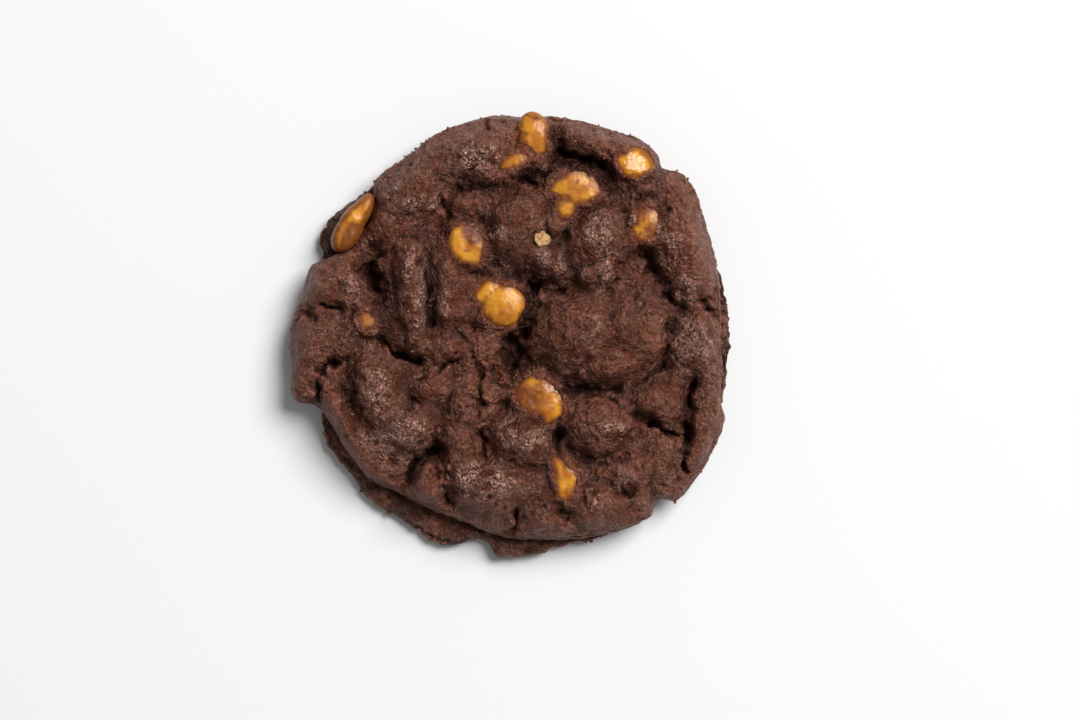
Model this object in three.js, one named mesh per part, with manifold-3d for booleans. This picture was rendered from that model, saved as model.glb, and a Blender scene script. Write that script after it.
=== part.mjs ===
import * as THREE from "three";
import { mergeVertices } from "three/addons/utils/BufferGeometryUtils.js";
import Module from "manifold-3d";

// A thick chocolate cookie with caramel chips, in millimetres, lying flat with its crumpled face up.
// x runs right, y runs away, z runs up from the flat face it rests on.

// ---- Driving dimensions ----

// Heights above the face it rests on.
const HOLLOW_HEIGHT = 10; // the dough between the lumps, at the middle
const HOLLOW_FALL = 2.5; // how much lower that dough is at the rim
const LUMP_ROOT = 7; // where a lump's side would reach if nothing filled the hollow
const SIDE_HEIGHT = 6; // where the upper layer stands out furthest
const GAP_HEIGHT = 4.2; // the groove between the upper layer and the foot
const FOOT_HEIGHT = 2.4; // where the foot stands out furthest

const SHOULDER = 5; // how far in from the side the top starts to round over
const FOOT_TUCK = 1.6; // how far the foot curls in where it meets the table
const RIM_RADIUS = 47; // the mean radius, used for what changes from middle to rim
const LUMP_GROW = 1.12; // a lump's root is this much wider than its crown
const LUMP_FLATNESS = 2; // higher makes a lump's middle flatter
const LUMP_ROUNDNESS = 0.9; // lower makes its sides steeper
const LUMP_BLEND = 0.8; // how softly neighbouring lumps flow together
const VALLEY_SHARE = 0.3; // how deep the wide dip around a crease is, as a share of the crease's depth
const VALLEY_SPREAD = 3.2; // and how wide, in the crease's half widths
const WOBBLE = 0.8; // how far the lumps' outlines wander
const WOBBLE_LENGTH = 7; // and over what length
const SIDE_WANDER = 1.1; // how far the side's widest line rises and falls on the way round
const GAP_WANDER = 0.66; // how far the groove does, along with it
const FOOT_WANDER = 0.55; // how far the foot does, in its own rhythm
const SIDE_WANDER_DEGREES = 22; // and over what share of the turn
const CHIP_CLEARANCE = 0.3; // left between a chip and the pocket it sits in
const CHIP_SEAT = 0.8; // how far above a chip's widest line the dough around it reaches
const SEAT_END = 1.05; // where the dough leaves that level, as a share of the chip's outline
const FREE_START = 1.6; // where it has its own height again, in the same measure
const SHOULDER_RISE = 1; // the top's edge stays at least this far above the side's widest line

// The side of the upper layer seen from above: degrees from x, radius.
const UPPER_OUTLINE = [
  [0, 44], [19, 45.5], [26, 46.5], [32, 47.5], [38, 49], [44, 49.5], [48, 47.5], [51, 49],
  [57, 49.5], [62, 48.5], [79, 47], [88, 46], [93, 46.5], [103, 46], [112, 45], [121, 43.5],
  [131, 43.5], [135, 41], [141, 38.5], [151, 38.5], [157, 42], [161, 44.5], [170, 45], [180, 46.5],
  [188, 46.5], [196, 47.5], [200, 43], [217, 42], [226, 42], [234, 40.5], [255, 40], [264, 41.5],
  [281, 43.5], [291, 45], [301, 47], [308, 47.5], [312, 45.5], [315, 48.5], [323, 49], [331, 48.5],
  [339, 48], [343, 46], [349, 45],
];

// The side of the foot, the lower layer that shows where the upper one is drawn in.
const FOOT_OUTLINE = [
  [0, 46], [15, 46], [25, 45.5], [45, 47], [60, 47], [88, 45], [103, 45.5], [121, 42.5], [132, 43],
  [141, 44.5], [151, 45.5], [158, 43], [175, 44.5], [195, 45], [201, 43], [207, 44.5], [213, 45],
  [221, 44.5], [228, 45.5], [240, 45], [251, 46], [255, 45.5], [258, 44], [263, 43.5], [266, 46.5],
  [271, 46.5], [283, 45.5], [297, 46.5], [309, 46], [325, 47.5], [340, 46.5], [350, 46],
];

// Where the groove above the foot runs deep: degrees, half its spread, depth.
const GROOVE_DEPTH = 0.8;
const DEEP_GROOVES = [
  [232, 34, 3.2],
  [268, 14, 1.6],
  [355, 26, 1.4],
];

// Lumps of dough: x, y, half length, half width, turn in degrees, height of the crown.
const LUMPS = {
  rightMain: [14.5, 0.5, 12.5, 9.5, 8, 16.5],
  rightEnd: [28.5, 1, 9, 6, 88, 15.5],
  rightLow: [20, -5.5, 9, 5, 12, 15],
  rightJoint: [23.5, 1.5, 8, 6, 90, 15.8],
  knob: [16.5, 12.5, 3.5, 3.5, 0, 14.8],
  knobRing: [18.5, 14.5, 5, 4.5, 0, 14],
  upperRight: [18.5, 20.5, 9.5, 7.5, 28, 15.5],
  upperMiddle: [1.5, 22.5, 10, 8, 60, 15],
  upperMiddleRidge: [7, 16, 6.5, 4.5, -52, 14.3],
  upperMiddleTop: [9.5, 23.5, 5, 3, 70, 14.5],
  rimRightTop: [35, 19.5, 15.5, 8.5, -70, 14.5],
  rimTopRight: [19, 39, 12.5, 5.5, -17, 13.5],
  rimTop: [-6, 38.5, 14, 7, 18, 13.5],
  topFold: [-3, 34.5, 9, 4, 12, 14.5],
  topLeft: [-19.5, 30.5, 11.5, 6.5, 38, 13.5],
  topLeftLow: [-25, 22.5, 7.5, 5, 20, 12.5],
  longRidge: [-20.8, 9, 14.5, 4, -83, 15],
  ridgeSlope: [-24.5, 7, 11.5, 5, -78, 12],
  leftSlab: [-38.5, -1.5, 13, 8.5, 88, 12.5],
  leftUpper: [-37.5, 10, 8, 7, 60, 13],
  leftRidge: [-34, 10, 8.5, 4.5, -80, 13],
  lowLeft: [-27, -12.5, 12.5, 7, -62, 15.5],
  lowLeftOuter: [-35.5, -17.5, 13.5, 5, -60, 13],
  lowLeftInner: [-20.5, -19.5, 8.5, 7, 20, 14.5],
  bottomMain: [-2.5, -31, 14, 8, -8, 15],
  bottomLeft: [-17.5, -31.5, 8.5, 5, 72, 13],
  bottomRidge: [-10.5, -24, 11, 5, -80, 14.5],
  middleUpper: [-12, 5, 5, 4.5, 0, 14],
  middle: [-6, -3, 7.5, 6, 30, 13.5],
  middleLeft: [-13, -3, 5.5, 4, 0, 13.5],
  middleLow: [-8.5, -13.5, 8, 6.5, 90, 14],
  middleLowLeft: [-16, -11, 6, 5, 0, 14],
  besideRidge: [-13, 13.5, 9, 5.5, 85, 13.3],
  underFold: [-9.5, 27, 8, 4.5, 10, 13],
  lowMiddle: [3, -22, 8, 7, -10, 15.5],
  underChip: [1, -9, 5.5, 5, 40, 13],
  lowRight: [18.5, -18, 9, 8, 0, 15],
  lowRightRim: [24.5, -27, 9.5, 6, 15, 14],
  bottomRight: [17.5, -35, 9, 5.5, 10, 13.5],
  rightRough: [30.5, -13.5, 6.5, 6.5, 0, 13.5],
  rightRoughLow: [31.5, -24, 8, 5, 85, 13],
  rimRight: [40, -1, 14, 5, -88, 12],
  rightMoist: [36, -2, 10, 4.5, 90, 12.5],
  rimLowRight: [39.5, -22, 12, 5, 72, 12],
  rimBottom: [7, -38, 8.5, 5, 5, 12.5],
  upperWedge: [27.5, 27.5, 6.5, 5, 60, 13.5],
  behindChip: [11.5, 33.5, 8.5, 3, -20, 12.5],
};

// Creases and cracks: half width, depth, then the points their bottom line runs through.
const CREASES = {
  topNotch: [1.1, 4.6, [8, 45.5], [9, 40.5], [11, 38.5], [17, 36.5], [21.5, 35]],
  aboveUpper: [0.9, 2.6, [-1, 33.5], [2, 32.5], [5.5, 32], [9, 33], [11, 34.5]],
  underTopLeft: [0.7, 1.6, [-15.5, 34], [-12.5, 31], [-7, 30.5], [-1.5, 33]],
  besideChipLeft: [0.8, 2, [-14, 27.5], [-13, 24], [-12, 21.5]],
  longGroove: [0.5, 1, [-18, 21], [-17, 15.5], [-17.3, 12]],
  longGrooveLow: [0.5, 1.4, [-16.8, 10], [-17.5, 6.5], [-16.6, 2]],
  deepPit: [2, 4.6, [-29.5, 17.5], [-29.8, 13.5], [-28.3, 10]],
  ridgeFoot: [0.5, 1.8, [-28.5, 0.5], [-25.8, -2.8], [-23.5, -4]],
  ridgeFootSlit: [0.7, 4, [-23.5, -3.6], [-21, -4.8], [-19.3, -5]],
  middleStep: [0.5, 2.2, [-19, -9], [-15.5, -7.5], [-13.5, -5.5], [-11, -5]],
  leftSlit: [0.45, 3, [-39.5, 7], [-37.5, 6], [-35.5, 5.5]],
  leftNotch: [0.8, 2.6, [-44.5, 5.5], [-42.5, 4.5], [-41, 3.5]],
  leftPocket: [0.9, 3.6, [-40.5, -13], [-40.5, -9], [-39, -6.5], [-36.5, -5.5]],
  lowLeftValley: [2.2, 1.2, [-33.5, -6], [-33.5, -13.5], [-32.5, -21]],
  lowLeftCleft: [0.9, 3.8, [-16.5, -23.5], [-19.5, -26], [-21.5, -28.5], [-23, -32], [-23.5, -35]],
  bottomValley: [1.5, 2, [-15.5, -23], [-15.5, -29], [-13, -34.5]],
  underUpperMiddle: [1.2, 2.4, [-7, 14.5], [-2, 12], [2.5, 11.5], [8, 10], [11, 9]],
  centreHollow: [1.8, 3.6, [3.8, 10], [4, 6.5], [1.8, 2.5], [0.6, -1]],
  centreHollowLow: [2.6, 4, [0.2, -2.5], [-0.2, -5.5], [2.2, -8.2]],
  underRightMain: [0.9, 3, [6.5, -9], [9.5, -10.5], [12.5, -11.5], [17.5, -11.5], [21.5, -11]],
  aroundRightEnd: [0.7, 2.4, [26, -10.5], [29.5, -8], [31.5, -6], [32.5, -2], [33, 2.5]],
  besideRimRight: [1.2, 2.8, [26.5, 22], [28, 18.5], [30, 13.5], [32.5, 9.5], [35.5, 4.5]],
  rimRightPit: [0.8, 2.6, [39.5, 7.5], [41.5, 6], [43, 4.5]],
  lowRightCrack: [
    0.7, 3.6,
    [38.5, -9.5], [37, -12], [38, -15], [36.6, -18], [37, -21.5], [35.6, -25], [36.4, -28.5],
  ],
  rightSlit: [0.6, 3.4, [29, -18], [31.5, -19.5], [34.5, -20.5]],
  lowCleft: [0.9, 3.8, [10, -16.5], [9.5, -22], [11, -25]],
  lowMiddleCrease: [0.7, 2.2, [-6, -20], [-5.5, -25]],
  bottomSlit: [0.8, 4.6, [1.5, -37.5], [0.5, -41], [-1, -43]],
  bottomPit: [0.8, 2.6, [11.5, -34.5], [12, -38]],
  bottomRightCrack: [0.45, 1.8, [23, -32], [25.5, -34.5]],
  topSlit: [0.4, 2.6, [-5.5, 45], [-5, 43.5]],
  rimRightFold: [1, 1.6, [26.5, 29], [30, 29], [32, 26.5]],
  middleCrack: [0.6, 1.8, [-7.5, -15], [-6.5, -17.5]],
  lowRightSplit: [0.5, 2, [21, -13], [23.5, -16], [26.5, -17.5]],
  besideChipLow: [0.8, 1.8, [12, -11.5], [11, -15]],
  leftOfUpperMiddle: [1.2, 1.5, [-7, 25.5], [-5, 20.5], [-5, 15.5]],
  betweenUpper: [0.6, 1.4, [10.5, 23.5], [12, 19.5]],
  middleGap: [0.7, 2.6, [-6.2, -8], [-6.8, -11], [-6.4, -14]],
  underLowRight: [0.7, 1.6, [16, -27], [21, -26.5], [27.5, -24]],
  acrossMiddle: [0.5, 1.6, [-9.5, -12.5], [-5.5, -14], [-1, -14]],
  middleSeam: [0.5, 1.4, [-11.5, 1.5], [-8.5, -2], [-7, -7.5]],
  besideChipCentre: [0.6, 1.6, [-6.5, 7.5], [-8.5, 4], [-7, 1.5]],
};

// Chips: x, y and z of the widest line, then its lobes, each as x and y from there, half length,
// half width, turn in degrees and height of the crown over that line.
const CHIP_DEPTH = 2.6; // below the widest line
const CHIP_ROUNDNESS = 0.8; // 1 makes a lobe's section an ellipse, less makes it squarer
const CHIPS = {
  chip_top_rim: [4.6, 42, 9.2, [[0, 0, 5, 3.6, -85, 2.3]]],
  chip_top_inner: [0.6, 36.1, 11.9, [[0, 0, 3.3, 2, 25, 1.3]]],
  chip_top_right: [25.6, 36, 10.4, [[0, 0, 4.5, 3.7, -15, 1.9]]],
  chip_upper: [13.5, 30.8, 10.2, [[0, 0.2, 6.3, 4.4, -10, 1.9], [-2.2, -3.4, 3.4, 2.6, 80, 1.6]]],
  chip_right: [28.1, 23.2, 11.8, [[0, 0, 4.4, 3.2, 70, 1.5]]],
  chip_left: [-9.4, 18.9, 10.4, [[0, 0, 5.3, 4.3, -70, 1.8]]],
  chip_centre: [-2, 6.8, 9.7, [[0.3, -0.2, 5, 4.8, 10, 2.1], [-2.6, 2, 3.5, 3, 30, 1.7]]],
  chip_rim_left: [
    -33, 23.5, 7,
    [[-1.3, -1.7, 4.7, 2.8, 56, 2.6], [1.2, 2.1, 5, 2.2, 58, 2.5], [-0.3, 0.4, 5, 2.6, 57, 2.6]],
  ],
  chip_far_left: [-30.3, 2.7, 10.4, [[0, 0, 3.2, 2.3, -45, 1.1]]],
  chip_lower: [6, -13.2, 10.3, [[0, 0, 5.8, 5.2, -45, 1.9]]],
  chip_bottom: [11.1, -29.6, 11.4, [[0, 0, 5.6, 3.3, -70, 1.5]]],
};

// Fineness of the faceted surfaces.
const TOP_CELLS = 42; // cells along each side of the grid that covers the top
const SHOULDER_STEPS = 4; // rings from the top down to the side
const CHIP_SIDES = 12;
const CHIP_RINGS = 6;
const FINEST_CREASE = 1.5; // half width of the narrowest crease that the grid can carry
const SOFTENING = 1.1; // the top is levelled over this distance, so that the grid's cells carry it

// Each unevenness has a number of its own, so that no two run alike.
const SEEDS = { wobbleX: 11, wobbleY: 21, side: 31, foot: 33 };
const UNEVENNESS_GAIN = 1.5; // brings the unevenness to the range from -1 to 1

const DOUGH_LOOK = { color: "#58392c", roughness: 0.6, metalness: 0 };
const CHIP_LOOK = { color: "#c9851f", roughness: 0.3, metalness: 0 };

// ---- Relief of the top ----

const DEGREE = Math.PI / 180;

// A direction, the same each time, for a cell corner of the unevenness.
function cornerDirection(i, j, seed) {
  let h = Math.imul(i, 374761393) + Math.imul(j, 668265263) + Math.imul(seed, 2246822519);
  h = Math.imul(h ^ (h >>> 13), 1274126177);
  h ^= h >>> 16;
  const angle = (h & 0xffff) * ((2 * Math.PI) / 65536);
  return [Math.cos(angle), Math.sin(angle)];
}

// Smooth unevenness from about -1 to 1: slopes at whole-number corners, eased in between.
function unevenness(x, y, seed) {
  const i = Math.floor(x);
  const j = Math.floor(y);
  const ease = (t) => t * t * t * (t * (t * 6 - 15) + 10);
  const rise = (di, dj) => {
    const [gx, gy] = cornerDirection(i + di, j + dj, seed);
    return gx * (x - i - di) + gy * (y - j - dj);
  };
  const near = THREE.MathUtils.lerp(rise(0, 0), rise(1, 0), ease(x - i));
  const far = THREE.MathUtils.lerp(rise(0, 1), rise(1, 1), ease(x - i));
  return UNEVENNESS_GAIN * THREE.MathUtils.lerp(near, far, ease(y - j));
}

// How far a place is from an ellipse's middle: 1 on its outline.
function ellipseDistance(x, y, [cx, cy, halfLength, halfWidth, turn]) {
  const c = Math.cos(turn * DEGREE);
  const s = Math.sin(turn * DEGREE);
  return Math.hypot(((x - cx) * c + (y - cy) * s) / halfLength, ((y - cy) * c - (x - cx) * s) / halfWidth);
}

// A lump is a dome, from its crown down to its root on its outline.
function lumpHeight(x, y, [cx, cy, halfLength, halfWidth, turn, crown]) {
  const outline = [cx, cy, halfLength * LUMP_GROW, halfWidth * LUMP_GROW, turn];
  const inside = 1 - ellipseDistance(x, y, outline) ** LUMP_FLATNESS;
  return LUMP_ROOT + (crown - LUMP_ROOT) * Math.max(inside, 0) ** LUMP_ROUNDNESS;
}

function distanceToPath(x, y, points) {
  let nearest = Infinity;
  for (let k = 1; k < points.length; k++) {
    const [ax, ay] = points[k - 1];
    const dx = points[k][0] - ax;
    const dy = points[k][1] - ay;
    const along = ((x - ax) * dx + (y - ay) * dy) / (dx * dx + dy * dy);
    const t = THREE.MathUtils.clamp(along, 0, 1);
    nearest = Math.min(nearest, Math.hypot(x - ax - t * dx, y - ay - t * dy));
  }
  return nearest;
}

// A narrow cut in a wide shallow dip. A cut too narrow for the grid is wider and less deep.
function creaseDepth(x, y, [halfWidth, depth, ...points]) {
  const away = distanceToPath(x, y, points);
  const width = Math.max(halfWidth, FINEST_CREASE);
  const cut = Math.sqrt(halfWidth / width) * Math.exp(-((away / width) ** 2));
  const dip = VALLEY_SHARE * Math.exp(-((away / (VALLEY_SPREAD * halfWidth)) ** 2));
  return depth * (cut + dip);
}

// Over a chip and beside it the dough lies just above the chip's widest line, and from there it goes
// over into its own height.
function seatChips(x, y, height) {
  let seated = height;
  for (const [cx, cy, cz, lobes] of Object.values(CHIPS)) {
    const distances = lobes.map(([dx, dy, halfLength, halfWidth, turn]) =>
      ellipseDistance(x, y, [cx + dx, cy + dy, halfLength, halfWidth, turn]),
    );
    const free = THREE.MathUtils.smoothstep(Math.min(...distances), SEAT_END, FREE_START);
    seated = THREE.MathUtils.lerp(cz + CHIP_SEAT, seated, free);
  }
  return seated;
}

function reliefHeight(x, y) {
  const wx = x + WOBBLE * unevenness(x / WOBBLE_LENGTH, y / WOBBLE_LENGTH, SEEDS.wobbleX);
  const wy = y + WOBBLE * unevenness(x / WOBBLE_LENGTH, y / WOBBLE_LENGTH, SEEDS.wobbleY);
  const hollow = HOLLOW_HEIGHT - HOLLOW_FALL * (Math.hypot(x, y) / RIM_RADIUS) ** 2;
  let sum = Math.exp(hollow / LUMP_BLEND);
  for (const lump of Object.values(LUMPS)) sum += Math.exp(lumpHeight(wx, wy, lump) / LUMP_BLEND);
  let height = LUMP_BLEND * Math.log(sum);
  for (const crease of Object.values(CREASES)) height -= creaseDepth(x, y, crease);
  return height;
}

// The mean of the relief at a place and at six places around it.
function topHeight(x, y) {
  const around = [0, 60, 120, 180, 240, 300].map((degrees) => {
    const dx = SOFTENING * Math.cos(degrees * DEGREE);
    const dy = SOFTENING * Math.sin(degrees * DEGREE);
    return reliefHeight(x + dx, y + dy);
  });
  const mean = (reliefHeight(x, y) + around.reduce((sum, height) => sum + height)) / (around.length + 1);
  return seatChips(x, y, mean);
}

// ---- Side ----

// A closed smooth curve through [degrees, radius] pairs, read at any angle.
function outlineRadius(outline, degrees) {
  const count = outline.length;
  const turn = (value) => ((value % 360) + 360) % 360;
  const angle = turn(degrees);
  const after = outline.findIndex(([start]) => start > angle);
  const last = after < 0 ? count - 1 : after - 1;
  const [before, from, to, beyond] = [-1, 0, 1, 2].map((k) => outline[(last + k + count) % count]);
  const span = turn(to[0] - from[0]);
  const t = turn(angle - from[0]) / span;
  const slopeFrom = ((to[1] - before[1]) / (span + turn(from[0] - before[0]))) * span;
  const slopeTo = ((beyond[1] - from[1]) / (span + turn(beyond[0] - to[0]))) * span;
  return (
    (2 * t ** 3 - 3 * t ** 2 + 1) * from[1] +
    (t ** 3 - 2 * t ** 2 + t) * slopeFrom +
    (3 * t ** 2 - 2 * t ** 3) * to[1] +
    (t ** 3 - t ** 2) * slopeTo
  );
}

function grooveDepth(degrees) {
  let depth = GROOVE_DEPTH;
  for (const [middle, spread, extra] of DEEP_GROOVES) {
    const away = Math.abs(((degrees - middle + 540) % 360) - 180);
    depth += extra * Math.exp(-((away / spread) ** 2));
  }
  return depth;
}

// Unevenness from about -1 to 1 at one angle on the way round. It closes after a turn.
function sideWander(degrees, seed) {
  const around = 360 / SIDE_WANDER_DEGREES / (2 * Math.PI);
  const c = Math.cos(degrees * DEGREE);
  const s = Math.sin(degrees * DEGREE);
  return unevenness(around * c, around * s, seed);
}

// Points of the side at one angle, from the top's edge down to the table.
function sideProfile(degrees) {
  const upper = outlineRadius(UPPER_OUTLINE, degrees);
  const foot = outlineRadius(FOOT_OUTLINE, degrees);
  const sideHeight = SIDE_HEIGHT + SIDE_WANDER * sideWander(degrees, SEEDS.side);
  const gapHeight = GAP_HEIGHT + GAP_WANDER * sideWander(degrees, SEEDS.side);
  const footHeight = FOOT_HEIGHT + FOOT_WANDER * sideWander(degrees, SEEDS.foot);
  const c = Math.cos(degrees * DEGREE);
  const s = Math.sin(degrees * DEGREE);
  const profile = [];
  for (let k = 0; k <= SHOULDER_STEPS; k++) {
    const round = (k / SHOULDER_STEPS) * 90 * DEGREE;
    const radius = upper - SHOULDER * (1 - Math.sin(round));
    const full = Math.max(topHeight(radius * c, radius * s), sideHeight + SHOULDER_RISE);
    profile.push([radius, sideHeight + (full - sideHeight) * Math.cos(round)]);
  }
  profile.push([Math.min(upper, foot) - grooveDepth(degrees), gapHeight]);
  profile.push([foot, footHeight]);
  profile.push([foot - FOOT_TUCK, 0]);
  return profile;
}

// ---- Dough ----

// Spreads a square grid's node, each coordinate from -1 to 1, over a disc: share of the radius, degrees.
function squareToDisc(a, b) {
  if (a === 0 && b === 0) return [0, 0];
  if (Math.abs(a) >= Math.abs(b)) return [Math.abs(a), (a > 0 ? 0 : 180) + (45 * b) / a];
  return [Math.abs(b), (b > 0 ? 90 : 270) - (45 * a) / b];
}

function doughGeometry() {
  const vertices = [];
  const faces = [];
  const addVertex = (x, y, z) => vertices.push(x, y, z) / 3 - 1;
  const addQuad = (a, b, c, d) => faces.push(a, b, c, a, c, d);
  const heightOf = (vertex) => vertices[3 * vertex + 2];
  // On the relief a cell is split along its more level diagonal, so that ridges and creases stay whole.
  const addLevelQuad = (a, b, c, d) => {
    const firstIsLevel = Math.abs(heightOf(a) - heightOf(c)) < Math.abs(heightOf(b) - heightOf(d));
    if (firstIsLevel) addQuad(a, b, c, d);
    else addQuad(b, c, d, a);
  };

  const index = (i, j) => j * (TOP_CELLS + 1) + i;
  const rimStart = [];
  for (let j = 0; j <= TOP_CELLS; j++) {
    for (let i = 0; i <= TOP_CELLS; i++) {
      const [share, degrees] = squareToDisc((2 * i) / TOP_CELLS - 1, (2 * j) / TOP_CELLS - 1);
      const radius = share * (outlineRadius(UPPER_OUTLINE, degrees) - SHOULDER);
      const x = radius * Math.cos(degrees * DEGREE);
      const y = radius * Math.sin(degrees * DEGREE);
      addVertex(x, y, share === 1 ? sideProfile(degrees)[0][1] : topHeight(x, y));
      if (share === 1) rimStart.push([index(i, j), (degrees + 360) % 360]);
    }
  }
  for (let j = 0; j < TOP_CELLS; j++) {
    for (let i = 0; i < TOP_CELLS; i++) {
      addLevelQuad(index(i, j), index(i + 1, j), index(i + 1, j + 1), index(i, j + 1));
    }
  }

  rimStart.sort((one, other) => one[1] - other[1]);
  const columns = rimStart.map(([first, degrees]) => {
    const rest = sideProfile(degrees).slice(1);
    const c = Math.cos(degrees * DEGREE);
    const s = Math.sin(degrees * DEGREE);
    return [first, ...rest.map(([radius, z]) => addVertex(radius * c, radius * s, z))];
  });
  const middle = addVertex(0, 0, 0);
  columns.forEach((column, k) => {
    const next = columns[(k + 1) % columns.length];
    for (let row = 1; row < column.length; row++) {
      addQuad(column[row - 1], column[row], next[row], next[row - 1]);
    }
    faces.push(column.at(-1), middle, next.at(-1));
  });

  const geometry = new THREE.BufferGeometry();
  geometry.setAttribute("position", new THREE.Float32BufferAttribute(vertices, 3));
  geometry.setIndex(faces);
  return geometry;
}

// ---- Chips ----

// One lobe: a lens with a domed crown, turned about its own upright axis. Room widens it all round.
function lobeGeometry([cx, cy, cz], [dx, dy, halfLength, halfWidth, turn, crown], room) {
  const profile = [];
  for (let k = 0; k <= CHIP_RINGS; k++) {
    const rise = (k / CHIP_RINGS - 0.5) * Math.PI;
    const height = (rise > 0 ? crown : CHIP_DEPTH) + room;
    const onAxis = k === 0 || k === CHIP_RINGS;
    profile.push(new THREE.Vector2(onAxis ? 0 : Math.cos(rise) ** CHIP_ROUNDNESS, height * Math.sin(rise)));
  }
  return new THREE.LatheGeometry(profile, CHIP_SIDES)
    .rotateX(90 * DEGREE)
    .scale(halfLength + room, halfWidth + room, 1)
    .rotateZ(turn * DEGREE)
    .translate(cx + dx, cy + dy, cz);
}

// ---- Joining and cutting ----

const wasm = await Module();
wasm.setup();

function solidOf(geometry) {
  const bare = geometry.clone();
  bare.deleteAttribute("normal");
  bare.deleteAttribute("uv");
  const merged = mergeVertices(bare);
  return new wasm.Manifold(
    new wasm.Mesh({
      numProp: 3,
      vertProperties: merged.attributes.position.array,
      triVerts: new Uint32Array(merged.index.array),
    }),
  );
}

function geometryOf(solid) {
  const mesh = solid.getMesh();
  const geometry = new THREE.BufferGeometry();
  geometry.setAttribute("position", new THREE.Float32BufferAttribute(mesh.vertProperties, 3));
  geometry.setIndex(Array.from(mesh.triVerts));
  geometry.computeVertexNormals();
  return geometry;
}

function chipSolid([cx, cy, cz, lobes], room) {
  const bodies = lobes.map((lobe) => solidOf(lobeGeometry([cx, cy, cz], lobe, room)));
  return bodies.reduce((whole, body) => whole.add(body));
}

// The dough keeps only its one large body, without flakes left over a pocket's edge.
function doughSolid() {
  let dough = solidOf(doughGeometry());
  for (const chip of Object.values(CHIPS)) dough = dough.subtract(chipSolid(chip, CHIP_CLEARANCE));
  return dough.decompose().reduce((largest, body) => (body.volume() > largest.volume() ? body : largest));
}

// ---- Assembly ----

function namedMesh(name, solid, look) {
  const mesh = new THREE.Mesh(geometryOf(solid), new THREE.MeshStandardMaterial(look));
  mesh.name = name;
  return mesh;
}

const cookie = new THREE.Group();
cookie.add(namedMesh("dough", doughSolid(), DOUGH_LOOK));
for (const [name, chip] of Object.entries(CHIPS)) {
  cookie.add(namedMesh(name, chipSolid(chip, 0), CHIP_LOOK));
}

// The middle of the whole, seen from above, stands over the origin.
const middle = new THREE.Box3().setFromObject(cookie).getCenter(new THREE.Vector3());
cookie.position.set(-middle.x, -middle.y, 0);

export default cookie;
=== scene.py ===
"""A thick chocolate cookie with caramel chips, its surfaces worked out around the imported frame."""

import math

import bpy
import numpy as np
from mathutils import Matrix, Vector


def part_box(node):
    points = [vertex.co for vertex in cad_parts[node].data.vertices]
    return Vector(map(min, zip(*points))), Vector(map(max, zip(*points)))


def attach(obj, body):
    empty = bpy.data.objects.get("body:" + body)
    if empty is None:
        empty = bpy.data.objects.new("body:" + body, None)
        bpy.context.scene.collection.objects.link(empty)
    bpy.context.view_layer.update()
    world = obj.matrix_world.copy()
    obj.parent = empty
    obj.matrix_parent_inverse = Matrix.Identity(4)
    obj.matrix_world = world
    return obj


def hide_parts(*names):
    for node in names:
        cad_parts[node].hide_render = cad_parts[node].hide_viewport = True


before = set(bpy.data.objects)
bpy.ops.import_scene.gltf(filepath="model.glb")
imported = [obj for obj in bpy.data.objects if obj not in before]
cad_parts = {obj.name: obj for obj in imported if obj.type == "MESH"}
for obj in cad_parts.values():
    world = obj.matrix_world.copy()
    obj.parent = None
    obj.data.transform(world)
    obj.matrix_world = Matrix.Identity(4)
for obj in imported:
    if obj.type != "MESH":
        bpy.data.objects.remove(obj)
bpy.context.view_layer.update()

bl_info = {
    "name": "Chocolate Cookie",
    "version": (1, 0, 0),
    "blender": (4, 5, 0),
    "location": "3D View > Sidebar > Cookie",
    "description": "Makes a thick chocolate cookie with caramel chips on a pale table",
    "category": "Add Mesh",
}

MM = 0.001  # the shapes are worked out in millimetres, and Blender's unit is the metre

# ---- Sizes shared with the frame, in millimetres ----

LUMP_ROOT = 7.0  # where a lump's side would reach if nothing filled the hollow
SIDE_HEIGHT = 6.0  # where the upper layer stands out furthest
GAP_HEIGHT = 4.2  # the groove between the upper layer and the foot
FOOT_HEIGHT = 2.4  # where the foot stands out furthest
SHOULDER = 5.0  # how far in from the side the top starts to round over
FOOT_TUCK = 1.6  # how far the foot curls in where it meets the table
RIM_RADIUS = 47.0  # the mean radius
LUMP_GROW = 1.12  # a lump's root is this much wider than its crown
LUMP_FLATNESS = 2.0  # higher makes a lump's middle flatter
LUMP_ROUNDNESS = 0.9  # lower makes its sides steeper
VALLEY_SHARE = 0.3  # how deep the wide dip around a crease is, as a share of the crease's depth
VALLEY_SPREAD = 3.2  # and how wide, in the crease's half widths
SIDE_WANDER = 1.1  # how far the side's levels rise and fall on the way round
SIDE_WANDER_DEGREES = 22.0  # and over what share of the turn
CHIP_DEPTH = 2.6  # a chip's depth below its widest line
CHIP_FLATNESS = 2.8  # higher makes a chip's crown flatter
CHIP_ROUNDING = 0.9  # lower makes a chip's rim rounder
CHIP_DENTS = ((0.26, 3.4, 91), (0.07, 1.4, 92))  # height, length, seed
CHIP_GRAIN = (0.05, 0.8, 93)  # in the same form
SMALLEST_CHIP = 0.3  # the least radius of a chip's outline
GAP_WANDER = 0.66  # how far the groove rises and falls, along with the side
FOOT_WANDER = 0.55  # how far the foot does, in its own rhythm
FOOT_RAGGEDNESS = ((0.35, 34, 5), (0.25, 35, 2))  # distance, seed, spread in degrees
SHOULDER_RISE = 1.0  # the top's edge stays at least this far above the side's widest line
UNDERSIDE_RISE = 0.12  # how far the underside's middle is off the table
LIP = 0.32  # how thick the dough is that laps over a chip's edge

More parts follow.
